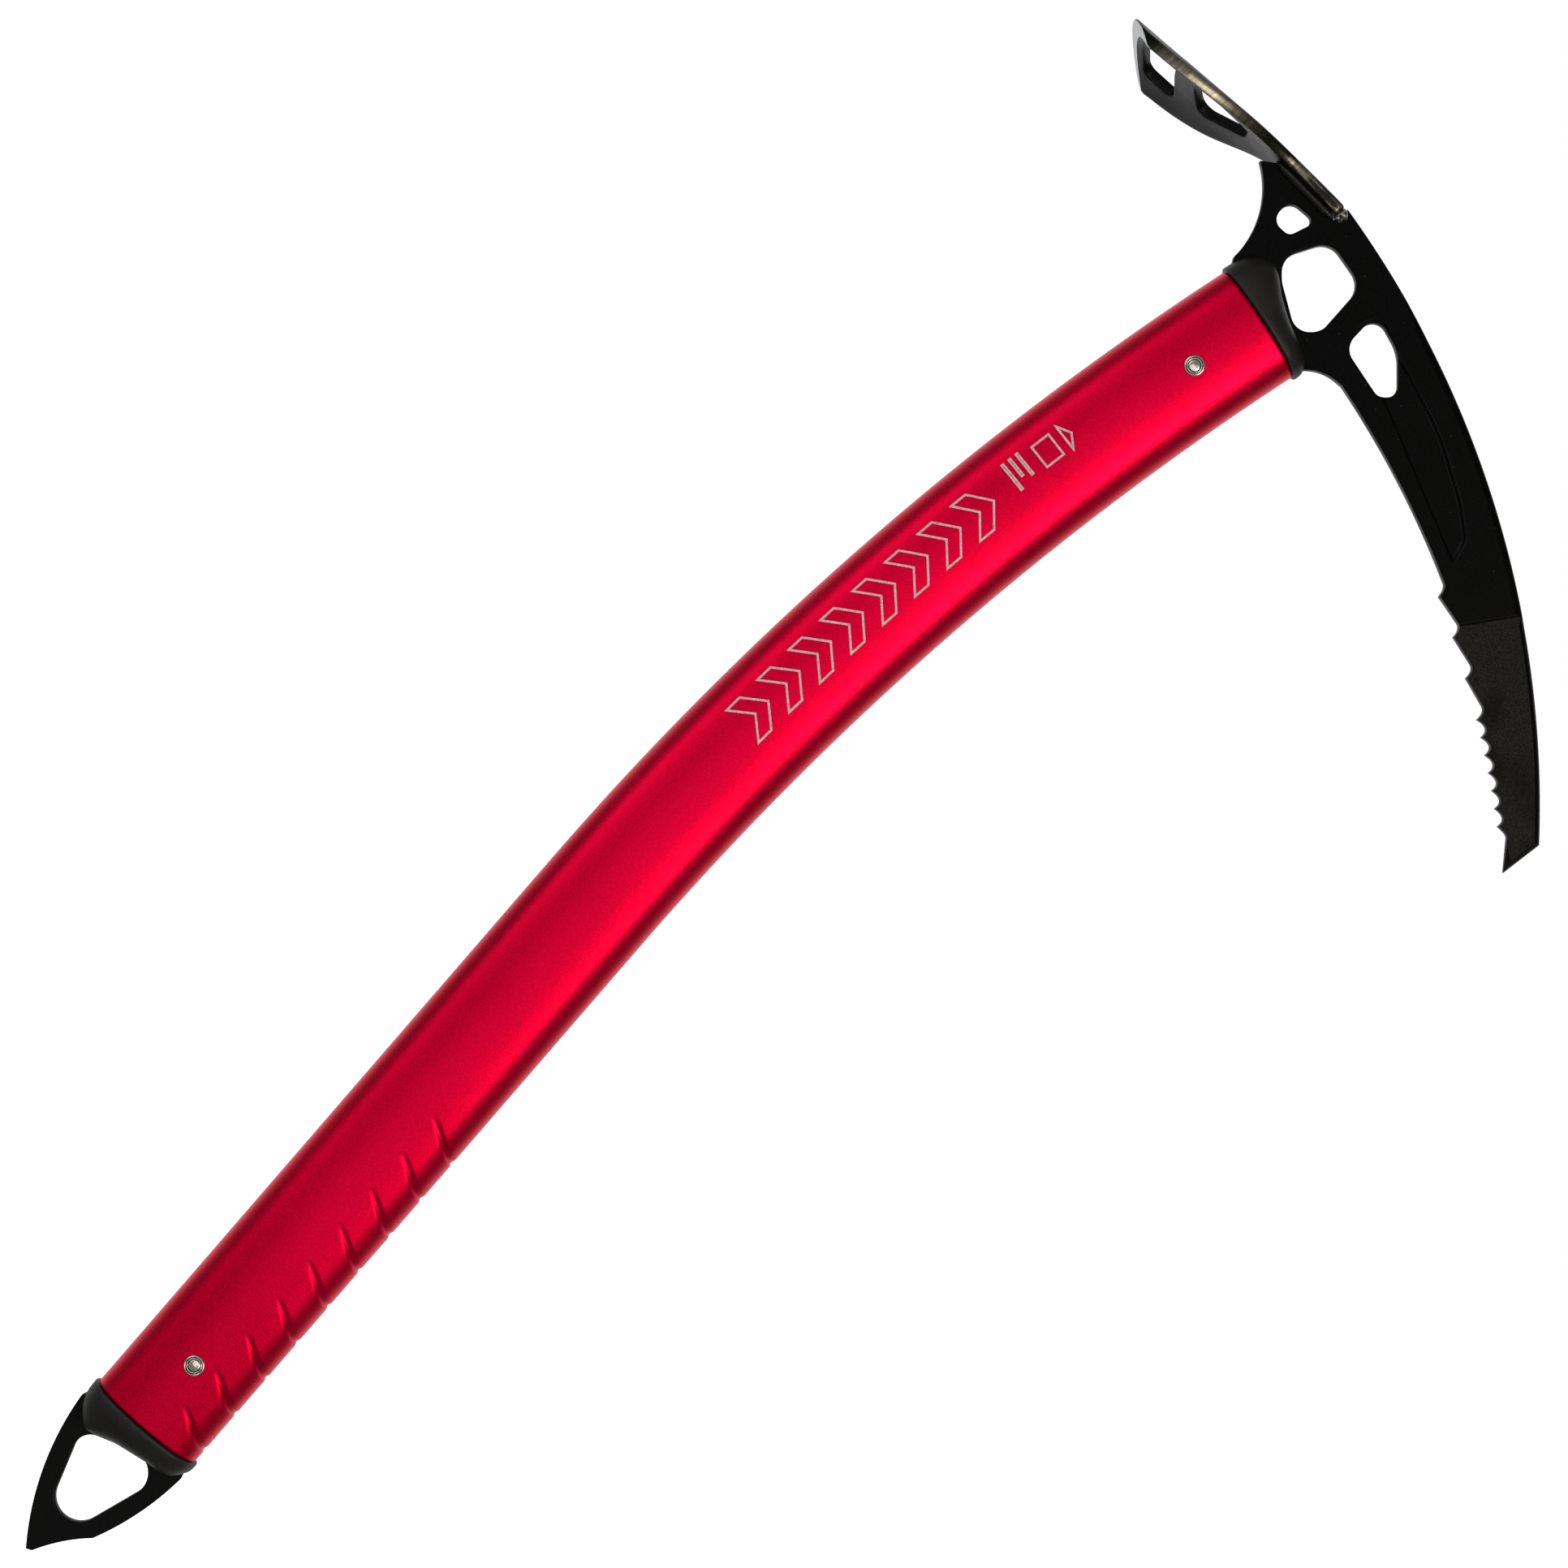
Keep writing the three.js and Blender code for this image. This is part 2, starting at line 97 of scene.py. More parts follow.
def make_camera():
    camera = bpy.data.objects.new("camera", bpy.data.cameras.new("camera"))
    camera.data.lens = LENS
    camera.data.sensor_width = SENSOR
    camera.location = (CAMERA_AIM[0], -CAMERA_DISTANCE, CAMERA_AIM[2])
    turn = Matrix.Rotation(-CAMERA_ROLL, 3, "Y") @ Matrix.Rotation(math.radians(90), 3, "X")
    camera.rotation_euler = turn.to_euler()
    bpy.context.scene.collection.objects.link(camera)
    bpy.context.scene.camera = camera


def make_softbox(name, angle, distance, width, height, watts, lift=0.0, tint="#FFFFFF"):
    """A soft lamp, its sizes in metres. angle is measured round the axe, positive on the pick side."""
    data = bpy.data.lights.new(name, "AREA")
    data.shape = "RECTANGLE"
    data.size, data.size_y = width, height
    data.energy = watts
    data.color = linear(tint)[:3]
    lamp = bpy.data.objects.new(name, data)
    turn = math.radians(angle)
    aim = Vector(CAMERA_AIM)
    lamp.location = aim + Vector((math.sin(turn), -math.cos(turn), lift)) * distance
    lamp.rotation_euler = (aim - lamp.location).to_track_quat("-Z", "Y").to_euler()
    lamp.visible_camera = False
    bpy.context.scene.collection.objects.link(lamp)


def spread(tree, value, low, high, first, last, smooth=False):
    """Maps a value between low and high to one between first and last, and holds it past them."""
    settings = {"interpolation_type": "SMOOTHSTEP" if smooth else "LINEAR"}
    return add_node(tree, "ShaderNodeMapRange", settings, Value=value, From_Min=low, From_Max=high,
                    To_Min=first, To_Max=last).outputs["Result"]


def make_world():
    """White behind the axe, where the lit backdrop is, and dim on the camera's side."""
    world = bpy.data.worlds.new("studio")
    world.use_nodes = True
    tree = world.node_tree
    tree.nodes.clear()
    place = add_node(tree, "ShaderNodeTexCoord")
    axes = add_node(tree, "ShaderNodeSeparateXYZ", Vector=place.outputs["Generated"])
    ramp = spread(tree, axes.outputs["Y"], 0.15, 0.75, 0.2, 0.9, smooth=True)
    room = add_node(tree, "ShaderNodeBackground", Color=(1, 1, 1, 1), Strength=ramp)
    seen = add_node(tree, "ShaderNodeBackground", Color=(1, 1, 1, 1), Strength=1.0)
    ray = add_node(tree, "ShaderNodeLightPath")
    mix = add_node(tree, "ShaderNodeMixShader", n0=ray.outputs["Is Camera Ray"],
                   n1=room.outputs[0], n2=seen.outputs[0])
    add_node(tree, "ShaderNodeOutputWorld", Surface=mix.outputs[0])
    bpy.context.scene.world = world


def make_floor():
    """A plain pale floor under the spike. It glows a little, as a lit sweep of white paper does."""
    mesh = bpy.data.meshes.new("floor")
    ways = ((-1, -1), (1, -1), (1, 1), (-1, 1))
    mesh.from_pydata([(FLOOR_REACH * x, FLOOR_REACH * y, FLOOR_Z) for x, y in ways], [], [(0, 1, 2, 3)])
    floor = bpy.data.objects.new("floor", mesh)
    material = bpy.data.materials.new("white_paper_sweep")
    material.use_nodes = True
    tree = material.node_tree
    set_inputs(tree, tree.nodes["Principled BSDF"], Base_Color=linear("#F4F4F4"), Roughness=0.9,
               Emission_Color=(1, 1, 1, 1), Emission_Strength=0.9)
    mesh.materials.append(material)
    floor.visible_diffuse = False
    floor.visible_glossy = False
    floor.visible_shadow = False
    bpy.context.scene.collection.objects.link(floor)


make_camera()
make_softbox("softbox_pick_side", 36, 1.3, 0.45, 0.6, 5.0, lift=0.16, tint="#FFF4E6")
make_softbox("softbox_adze_side", -50, 1.3, 0.75, 0.9, 2.9, lift=0.06)
make_softbox("softbox_front", 0, 1.6, 1.1, 1.1, 3.4)
make_world()
make_floor()
bpy.context.scene.view_settings.view_transform = "Standard"

# ==== Shaft =========================================================================================
# A drawn oval tube of aluminium alloy, bent under the head, with nine slanted grooves pressed into its
# front edge low down. It is bead blasted and then anodised red, so it is satin with a fine sparkle.

SHAFT_FOOT = (-1.05, -390)      # x, z of the tube's lower end, in millimetres as are all sizes below
SHAFT_LEAN = 0.0862
STRAIGHT_LENGTH = 164.6
BEND_RADIUS = 750.8
SHAFT_LENGTH = 375.5
OVAL_EDGE, OVAL_FACE = 15, 9.5
OVAL_EDGE_RADIUS, OVAL_FACE_RADIUS = 8.5, 30.125
OVAL_JOINT = math.atan2(OVAL_EDGE - OVAL_EDGE_RADIUS, OVAL_FACE_RADIUS - OVAL_FACE)    # where the arcs meet
WALL = 1.6
GROOVE_COUNT, GROOVE_FIRST, GROOVE_PITCH = 9, 9.8, 11.32
GROOVE_START, GROOVE_SLANT, GROOVE_DEPTH = 4.4, math.tan(0.58), 0.75
GROOVE_HALF_WIDTH = 1.0
GROOVE_GROWS_OVER, GROOVE_EASES_AT = 7, 12          # where a groove is full, and where it turns shallower
GROOVE_LOWER_WALL, GROOVE_UPPER_WALL = 1.35, 0.8    # how steep the two walls are
AROUND = 128                    # points round the tube
END_BREAK = 0.35                # the broken edge at the tube's ends
SMOOTH_ANGLE = 32               # degrees between faces that still shade as one


def shaft_frame(along):
    """x, z and lean of the centre line at a distance from the spike end. It leans towards the pick."""
    straight = min(along, STRAIGHT_LENGTH)
    angle = (along - straight) / BEND_RADIUS - SHAFT_LEAN
    knee_x = SHAFT_FOOT[0] - straight * math.sin(SHAFT_LEAN)
    knee_z = SHAFT_FOOT[1] + straight * math.cos(SHAFT_LEAN)
    return (knee_x + BEND_RADIUS * (math.cos(SHAFT_LEAN) - math.cos(angle)),
            knee_z + BEND_RADIUS * (math.sin(angle) + math.sin(SHAFT_LEAN)), angle)


def shaft_point(along, side, out, rise=0):
    """A point beside the centre line: side is towards the pick, out is +Y, rise is up the shaft."""
    x, z, lean = shaft_frame(along)
    c, s = math.cos(lean), math.sin(lean)
    return Vector((x + side * c + rise * s, out, z - side * s + rise * c))


def oval(turn, inward=0.0):
    """side and out on the oval at an angle of its normal: 0 is the left face, 90 degrees the pick side."""
    s, c = math.sin(turn), math.cos(turn)
    if abs(s) < math.sin(OVAL_JOINT):
        radius = OVAL_FACE_RADIUS - inward
        return radius * s, -math.copysign(radius * abs(c) - (OVAL_FACE_RADIUS - OVAL_FACE), c)
    radius = OVAL_EDGE_RADIUS - inward
    return math.copysign(OVAL_EDGE - OVAL_EDGE_RADIUS, s) + radius * s, -radius * c


def even_turns(count):
    """Normal angles that put points evenly round the oval."""
    fine = 2880
    turns = [2 * math.pi * i / fine for i in range(fine + 1)]
    places = [oval(t) for t in turns]
    reach = [0]
    for a, b in zip(places, places[1:]):
        reach.append(reach[-1] + math.dist(a, b))
    result, i = [], 0
    for k in range(count):
        want = reach[-1] * k / count
        while reach[i + 1] < want:
            i += 1
        result.append(turns[i] + (turns[i + 1] - turns[i]) * (want - reach[i]) / (reach[i + 1] - reach[i]))
    return result


def groove_depth(along, side):
    """How far the grooves press the surface in: a steep lower wall and an easy upper one."""
    reach = side - GROOVE_START
    if reach <= 0:
        return 0
    depth = 0
    grow = min(1, reach / GROOVE_GROWS_OVER)
    for i in range(GROOVE_COUNT):
        centre = GROOVE_FIRST + i * GROOVE_PITCH + 0.9 - reach * GROOVE_SLANT
        away = (along - centre) / (GROOVE_HALF_WIDTH * (0.35 + 0.65 * grow))
        away *= GROOVE_LOWER_WALL if away < 0 else GROOVE_UPPER_WALL
        if abs(away) < 1:
            near_edge = 1 - 0.45 * max(0, side - GROOVE_EASES_AT) / (OVAL_EDGE - GROOVE_EASES_AT)
            depth += GROOVE_DEPTH * near_edge * (0.3 + 0.7 * grow) * min(1, reach) * (1 - away * away) ** 1.5
    return depth


def shade(mesh, angle=SMOOTH_ANGLE):
    """Smooth shading, except where faces meet past an angle."""
    mesh.shade_smooth()
    mesh.set_sharp_from_angle(angle=math.radians(angle))


def new_object(name, vertices, faces, materials, smooth_angle=SMOOTH_ANGLE):
    """A mesh object from millimetre points."""
    mesh = bpy.data.meshes.new(name)
    mesh.from_pydata([Vector(v) * MM for v in vertices], [], faces)
    mesh.validate()
    bm = bmesh.new()
    bm.from_mesh(mesh)
    bmesh.ops.recalc_face_normals(bm, faces=bm.faces)
    bm.to_mesh(mesh)
    bm.free()
    for material in materials:
        mesh.materials.append(material)
    shade(mesh, smooth_angle)
    piece = bpy.data.objects.new(name, mesh)
    bpy.context.scene.collection.objects.link(piece)
    return piece


def circle(count):
    """Cosine and sine of even steps round a circle."""
    turns = [2 * math.pi * k / count for k in range(count)]
    return [(math.cos(turn), math.sin(turn)) for turn in turns]


def rings_to_faces(rings, count, closed=True):
    """Quads between neighbouring rings of points."""
    faces = []
    last = rings if closed else rings - 1
    for r in range(last):
        a, b = r * count, (r + 1) % rings * count
        for k in range(count):
            faces.append((a + k, a + (k + 1) % count, b + (k + 1) % count, b + k))
    return faces


def material_base(name):
    """A new material with its Principled shader, and a coordinate node in metres."""
    material = bpy.data.materials.new(name)
    material.use_nodes = True
    tree = material.node_tree
    surface = tree.nodes["Principled BSDF"]
    place = add_node(tree, "ShaderNodeTexCoord").outputs["Object"]
    return material, tree, surface, place


def size_scale(millimetres):
    """A pattern scale whose grain is that many millimetres."""
    return 1000 / millimetres


def noise_at(tree, place, millimetres, detail=2.0, roughness=0.5):
    """A noise with a grain of that many millimetres."""
    return add_node(tree, "ShaderNodeTexNoise", Vector=place, Scale=size_scale(millimetres), Detail=detail,
                    Roughness=roughness).outputs["Fac"]


def two_tones(tree, amount, low, high, first, last):
    """A colour that goes from the first tone to the last as the amount goes from low to high."""
    ramp = add_node(tree, "ShaderNodeValToRGB", Fac=amount)
    for stop, position, tone in zip(ramp.color_ramp.elements, (low, high), (first, last)):
        stop.position = position
        stop.color = linear(tone)
    return ramp.outputs["Color"]


def relief(tree, height, strength, depth):
    """A bumped normal, its depth in millimetres."""
    return add_node(tree, "ShaderNodeBump", Strength=strength, Distance=depth * MM,
                    Height=height).outputs["Normal"]


def anodised_aluminium():
    """Red dye in a clear oxide over blasted alloy. The blast gives a fine sparkle and a soft sheen."""
    material, tree, surface, place = material_base("anodised_aluminium_red")
    cloud = noise_at(tree, place, 38, 3.0)
    grit = noise_at(tree, place, 0.4, 2.0, 0.8)
    dye = two_tones(tree, cloud, 0.3, 0.72, "#DA0033", "#E60038")
    fleck = spread(tree, grit, 0.34, 0.66, 0.84, 1.17)
    colour = add_node(tree, "ShaderNodeMix", {"data_type": "RGBA", "blend_type": "MULTIPLY"}, n0=1.0,
                      n6=dye, n7=fleck)
    gloss = spread(tree, grit, 0.3, 0.7, 0.34, 0.44)
    set_inputs(tree, surface, Base_Color=colour.outputs[2], Roughness=gloss, Metallic=1.0, Coat_Weight=0.03,
               Coat_Roughness=0.3, Normal=relief(tree, grit, 0.28, 0.12))
    return material


def make_shaft():
    turns = even_turns(AROUND)
    grooved_to = GROOVE_FIRST + GROOVE_COUNT * GROOVE_PITCH
    stations = [0, 0.12, END_BREAK]
    while stations[-1] < grooved_to:
        stations.append(stations[-1] + 0.42)
    while stations[-1] < SHAFT_LENGTH - 1.8:
        stations.append(stations[-1] + 1.5)
    stations += [SHAFT_LENGTH - END_BREAK, SHAFT_LENGTH - 0.12, SHAFT_LENGTH]
    vertices = []
    for along in stations:
        from_end = min(along, SHAFT_LENGTH - along)
        edge_break = max(0, END_BREAK - from_end) * 0.8
        for turn in turns:
            side, out = oval(turn, edge_break)
            depth = groove_depth(along, side)
            vertices.append(shaft_point(along, side - depth * math.sin(turn), out + depth * math.cos(turn)))
    inner = [SHAFT_LENGTH * (1 - i / 24) for i in range(25)]
    for along in inner:
        for turn in turns:
            vertices.append(shaft_point(along, *oval(turn, WALL)))
    faces = rings_to_faces(len(stations) + len(inner), AROUND)
    return new_object("shaft_tube_skin", vertices, faces, [anodised_aluminium()], 50)


shaft = make_shaft()
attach(shaft, "root")
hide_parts("shaft_tube")

# ==== Shaft marking =================================================================================
# A generic row of outlined arrowheads with bars, a square and a triangle above it, burnt pale into the red
# dye by a laser. It is plain ornament with no letters, and stands a few hundredths of a millimetre proud.

MARK_LINE, MARK_THIN_LINE = 0.5, 0.42
MARK_PROUD, MARK_SUNK = 0.03, -0.05
MARK_FROM, MARK_TO = 219, 300.5    # along the shaft
MARK_LOW, MARK_HIGH = -8.2, 2.6    # side of the centre line
MARK_COUNT = 8
MARK_BARS, MARK_BAR_PITCH, MARK_BAR_WIDTH = (7.5, 5.0, 6.2), 2.1, 0.55
MARK_SHAPES = [[(0, 1), (5, 1), (5, 7), (0, 7)], [(7.5, 0.5), (9.5, 4), (7.5, 7.5)]]


def marked_oxide():
    """Oxide bleached by a laser: pale, matt and finely mottled."""
    material, tree, surface, place = material_base("laser_marked_oxide")
    mottle = noise_at(tree, place, 0.4)
    set_inputs(tree, surface, Base_Color=two_tones(tree, mottle, 0.3, 0.65, "#C9A9A8", "#F2E4DF"),
               Roughness=0.55, Metallic=0.2)
    return material


def turn_at_side(side):
    """The oval's normal angle where the left face is that far from the centre line."""
    if abs(side) <= OVAL_FACE_RADIUS * math.sin(OVAL_JOINT):
        return math.asin(side / OVAL_FACE_RADIUS)
    centre = math.copysign(OVAL_EDGE - OVAL_EDGE_RADIUS, side)
    return math.asin((side - centre) / OVAL_EDGE_RADIUS)


def on_left_face(along, side, proud):
    """A point on the tube's left face, or a little proud of it."""
    return shaft_point(along, *oval(turn_at_side(side), -proud))


def closed_ribbon(corners, width, vertices, faces):
    """A band of even width round a closed outline of (along, side) corners, laid on the left face."""
    loop = []
    for a, b in zip(corners, corners[1:] + corners[:1]):
        steps = max(1, round(math.dist(a, b) / 0.8))
        loop += [Vector(a).lerp(Vector(b), i / steps) for i in range(steps)]
    count = len(loop)
    start = len(vertices)
    for level in (MARK_SUNK, MARK_PROUD):
        for way in (-1, 1):
            for i, here in enumerate(loop):
                back = (here - loop[i - 1]).normalized()
                ahead = (loop[(i + 1) % count] - here).normalized()
                normal = (back + ahead).normalized().orthogonal()
                mitre = min(2.5, 1 / max(0.2, normal.dot(back.orthogonal())))
                spot = here + normal * (way * width / 2 * mitre)
                vertices.append(on_left_face(spot.x, spot.y, level))
    low_in, low_out, top_in, top_out = (start + count * k for k in range(4))
    for i in range(count):
        j = (i + 1) % count
        for a, b in ((low_in, low_out), (low_out, top_out), (top_out, top_in), (top_in, low_in)):
            faces.append((a + i, a + j, b + j, b + i))


def make_marking():
    vertices, faces = [], []
    pitch = (MARK_TO - MARK_FROM) / MARK_COUNT
    middle = (MARK_LOW + MARK_HIGH) / 2
    slope = pitch * 0.42    # both the width of an arrowhead and how far its point leads
    for i in range(MARK_COUNT):
        a = MARK_FROM + i * pitch
        b = a + slope
        closed_ribbon([(a, MARK_LOW), (b, MARK_LOW), (b + slope, middle), (b, MARK_HIGH), (a, MARK_HIGH),
                       (a + slope, middle)], MARK_LINE, vertices, faces)
    small = MARK_TO + 5
    for i, length in enumerate(MARK_BARS):
        a = small + i * MARK_BAR_PITCH
        b = a + MARK_BAR_WIDTH
        closed_ribbon([(a, MARK_LOW), (b, MARK_LOW), (b, MARK_LOW + length), (a, MARK_LOW + length)],
                      MARK_THIN_LINE, vertices, faces)
    a = small + 8.2
    for shape in MARK_SHAPES:
        closed_ribbon([(a + x, MARK_LOW + y) for x, y in shape], MARK_LINE, vertices, faces)
    return new_object("shaft_marking", vertices, faces, [marked_oxide()])


marking = make_marking()
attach(marking, "root")

# ==== Head plate ====================================================================================
# Pick, eyes and tang in one piece of 4 mm hot-forged alloy steel. Its holes are countersunk, a flute is
# pressed in both faces of the pick, and the last third is ground thinner. It has a black baked coating.

HEAD_THICKNESS = 4
PICK_TIP_THICKNESS = 3.2
FLUTE_DEPTH, FLUTE_SLOPE = 0.9, 1.3
TANG_HALF_WIDTH, TANG_LENGTH = 10.5, 38
SHOULDER_HALF_WIDTH = 14                             # where a plate rests on the tube's end
TOOTH_CENTRE, TOOTH_RADIUS, TOOTH_FIRST = (-32.5, -271), 262.8, 0.4138
BIG_TEETH, BIG_PITCH, BIG_DEPTH = 3, 10.3, 2.15
SMALL_TEETH, SMALL_PITCH, SMALL_DEPTH = 6, 4.35, 3.1
SPINE_CENTRE, SPINE_RADIUS = (-43.8, -222.5), 243.4
GRIND_FROM, GRIND_RUN_IN, TIP_GRIND_FROM = 16, 12, 131    # x where grinding starts, its run-in, the point
STEP_FROM, STEP_TO = (81.0, -32.2), (90.1, -19.0)    # where the thinner part of the pick begins
PICK_TIP_ZONE = [(126, -82), (152, -54)]             # beyond the point, so as to hold all the thinner part
ALONG_PICK, STEP_REACH = (0.824, 0.0, -0.566), 84.6 * MM    # a way square to the step, and how far off it is
# The holes and the flute are given as corners (x, z, radius).
LEASH_HOLE = [(-20, 10.1, 3), (-19.3, 3.5, 2.8), (-13.9, 3.9, 2), (-11.7, 10.9, 1.6)]
HEAD_EYE = [(-5.9, 10.1, 5), (-11.4, -0.9, 5), (-7.2, -5, 8), (3.7, -11.1, 4.5), (8, -6.6, 5), (6.9, 8, 5)]
PICK_HOLE = [(14.1, 5.9, 3.4), (14.6, -5.2, 4.2), (28.6, -7.8, 2.6), (32, -4.3, 2.6), (24.2, 3.3, 10)]
PICK_HOLE_RELIEF, RELIEF_REACH = (15, 4), 6          # a corner with a deeper countersink
FLUTE = [(22, -4.8, 1), (70.4, -23.6, 0.9), (68.2, -16.2, 4), (60.5, -10.6, 40), (45, -2.6, 60), (22, 3.9, 1)]


class Pen:
    """Draws an outline as points about a given step apart."""

    def __init__(self, start, step=0.6):
        self.points = [Vector(start)]
        self.step = step

    def line(self, *ends):
        for end in ends:
            self.points.append(Vector(end))
        return self

    def curve(self, *controls):
        """A quadratic or cubic curve from the last point."""
        row = [self.points[-1]] + [Vector(c) for c in controls]
        count = max(3, round(sum((b - a).length for a, b in zip(row, row[1:])) / self.step))
        for i in range(1, count + 1):
            level = row
            while len(level) > 1:
                level = [a.lerp(b, i / count) for a, b in zip(level, level[1:])]
            self.points.append(level[0])
        return self

    def arc(self, centre, radius, first, last):
        count = max(3, round(radius * abs(last - first) / self.step))
        for i in range(count + 1):
            turn = first + (last - first) * i / count
            spot = Vector((centre[0] + radius * math.cos(turn), centre[1] + radius * math.sin(turn)))
            if (spot - self.points[-1]).length > 0.02:
                self.points.append(spot)
        return self


def rounded(corners, step=0.5):
    """A closed outline through corners (x, z, radius), joined by arcs."""
    pen = None
    count = len(corners)
    for i, (x, z, radius) in enumerate(corners):
        corner = Vector((x, z))
        back = (Vector(corners[i - 1][:2]) - corner).normalized()
        ahead = (Vector(corners[(i + 1) % count][:2]) - corner).normalized()
        half = back.angle(ahead) / 2
        middle = corner + (back + ahead).normalized() * (radius / math.sin(half))
        ends = [corner + way * (radius / math.tan(half)) - middle for way in (back, ahead)]
        first, last = (math.atan2(e.y, e.x) for e in ends)
        last = first + (last - first + math.pi) % (2 * math.pi) - math.pi
        if pen is None:
            pen = Pen(middle + ends[0], step)
        pen.arc(middle, radius, first, last)
    if (pen.points[0] - pen.points[-1]).length < 0.02:
        pen.points.pop()
    return pen.points


def tooth_place(along, height):
    """A point that far along the line of the teeth's tips, and that far into the metal."""
    turn = TOOTH_FIRST + along / TOOTH_RADIUS
    radius = TOOTH_RADIUS + height
    return TOOTH_CENTRE[0] + radius * math.sin(turn), TOOTH_CENTRE[1] + radius * math.cos(turn)


def at_end(along, side, rise):
    """x and z of a point beside one end of the tube."""
    point = shaft_point(along, side, 0, rise)
    return point.x, point.z


def at_head_end(side, rise):
    return at_end(SHAFT_LENGTH, side, rise)


def head_outline():
    pen = Pen(at_head_end(-TANG_HALF_WIDTH, -TANG_LENGTH))
    pen.line(at_head_end(TANG_HALF_WIDTH, -TANG_LENGTH), at_head_end(TANG_HALF_WIDTH, 0.3),
             at_head_end(SHOULDER_HALF_WIDTH, 0.3), at_head_end(SHOULDER_HALF_WIDTH, 1))
    pen.curve((11.6, -15.6), (14.6, -12.1), (20.5, -12.1))
    pen.arc((-21.6, -245.2), 237, 1.3924, 1.1655)
    pen.curve(tooth_place(-1.2, 2), tooth_place(0, 0))
    along = 0
    for _ in range(BIG_TEETH):
        pen.line(tooth_place(along + 0.68 * BIG_PITCH, 0.85 * BIG_DEPTH))
        pen.curve(tooth_place(along + 0.87 * BIG_PITCH, 1.25 * BIG_DEPTH), tooth_place(along + BIG_PITCH, 0))
        along += BIG_PITCH
    for _ in range(SMALL_TEETH):
        pen.curve(tooth_place(along + 0.67 * SMALL_PITCH, SMALL_DEPTH), tooth_place(along + SMALL_PITCH, 0))
        along += SMALL_PITCH
    pen.curve((125.6, -58.4), (126.1, -59.3)).line((131.3, -65.6))
    pen.arc(SPINE_CENTRE, SPINE_RADIUS, 0.7605, 1.4255)
    pen.line((-9.1, 14.2), (-28.2, 14.1))
    pen.arc((-42.7, -8.9), 23.2, 1.0714, 0)
    pen.line(at_head_end(-SHOULDER_HALF_WIDTH, 1), at_head_end(-SHOULDER_HALF_WIDTH, 0.3),
             at_head_end(-TANG_HALF_WIDTH, 0.3))
    return pen.points


def turned(loop, left):
    """The loop with its inside on the left hand if left is true, and on the right if not."""
    area = sum(a.x * b.y - b.x * a.y for a, b in zip(loop, loop[1:] + loop[:1]))
    return loop if (area > 0) == left else loop[::-1]


def inset(loop, widths):
    """The loop moved to its left by a width at each point, with edges that turn back closed up."""
    count = len(loop)
    spots = []
    for i, here in enumerate(loop):
        back = (here - loop[i - 1]).normalized()
        ahead = (loop[(i + 1) % count] - here).normalized()
        left = Vector((-back.y, back.x))
        normal = left + Vector((-ahead.y, ahead.x))
        normal = normal.normalized() if normal.length > 1e-6 else left
        spots.append(here + normal * (widths[i] / max(0.42, normal.dot(left))))
    for _ in range(40):
        crossed = [i for i in range(count)
                   if (spots[(i + 1) % count] - spots[i]).dot(loop[(i + 1) % count] - loop[i]) < -1e-7]
        for i in crossed:
            middle = (spots[i] + spots[(i + 1) % count]) / 2
            spots[i], spots[(i + 1) % count] = middle.copy(), middle.copy()
        if not crossed:
            break
    return spots


def within(point, loop):
    """Whether a point is inside a closed outline."""
    inside = False
    for a, b in zip(loop, loop[1:] + loop[:1]):
        if (a.y > point.y) != (b.y > point.y):
            if point.x < a.x + (point.y - a.y) * (b.x - a.x) / (b.y - a.y):
                inside = not inside
    return inside


EDGE_PROFILE = [(0, 0), (0.14, 0.5), (0.5, 0.86), (1, 1)]    # share of a broken edge's width and depth
MERGE = 0.004                                                # points nearer than this are joined


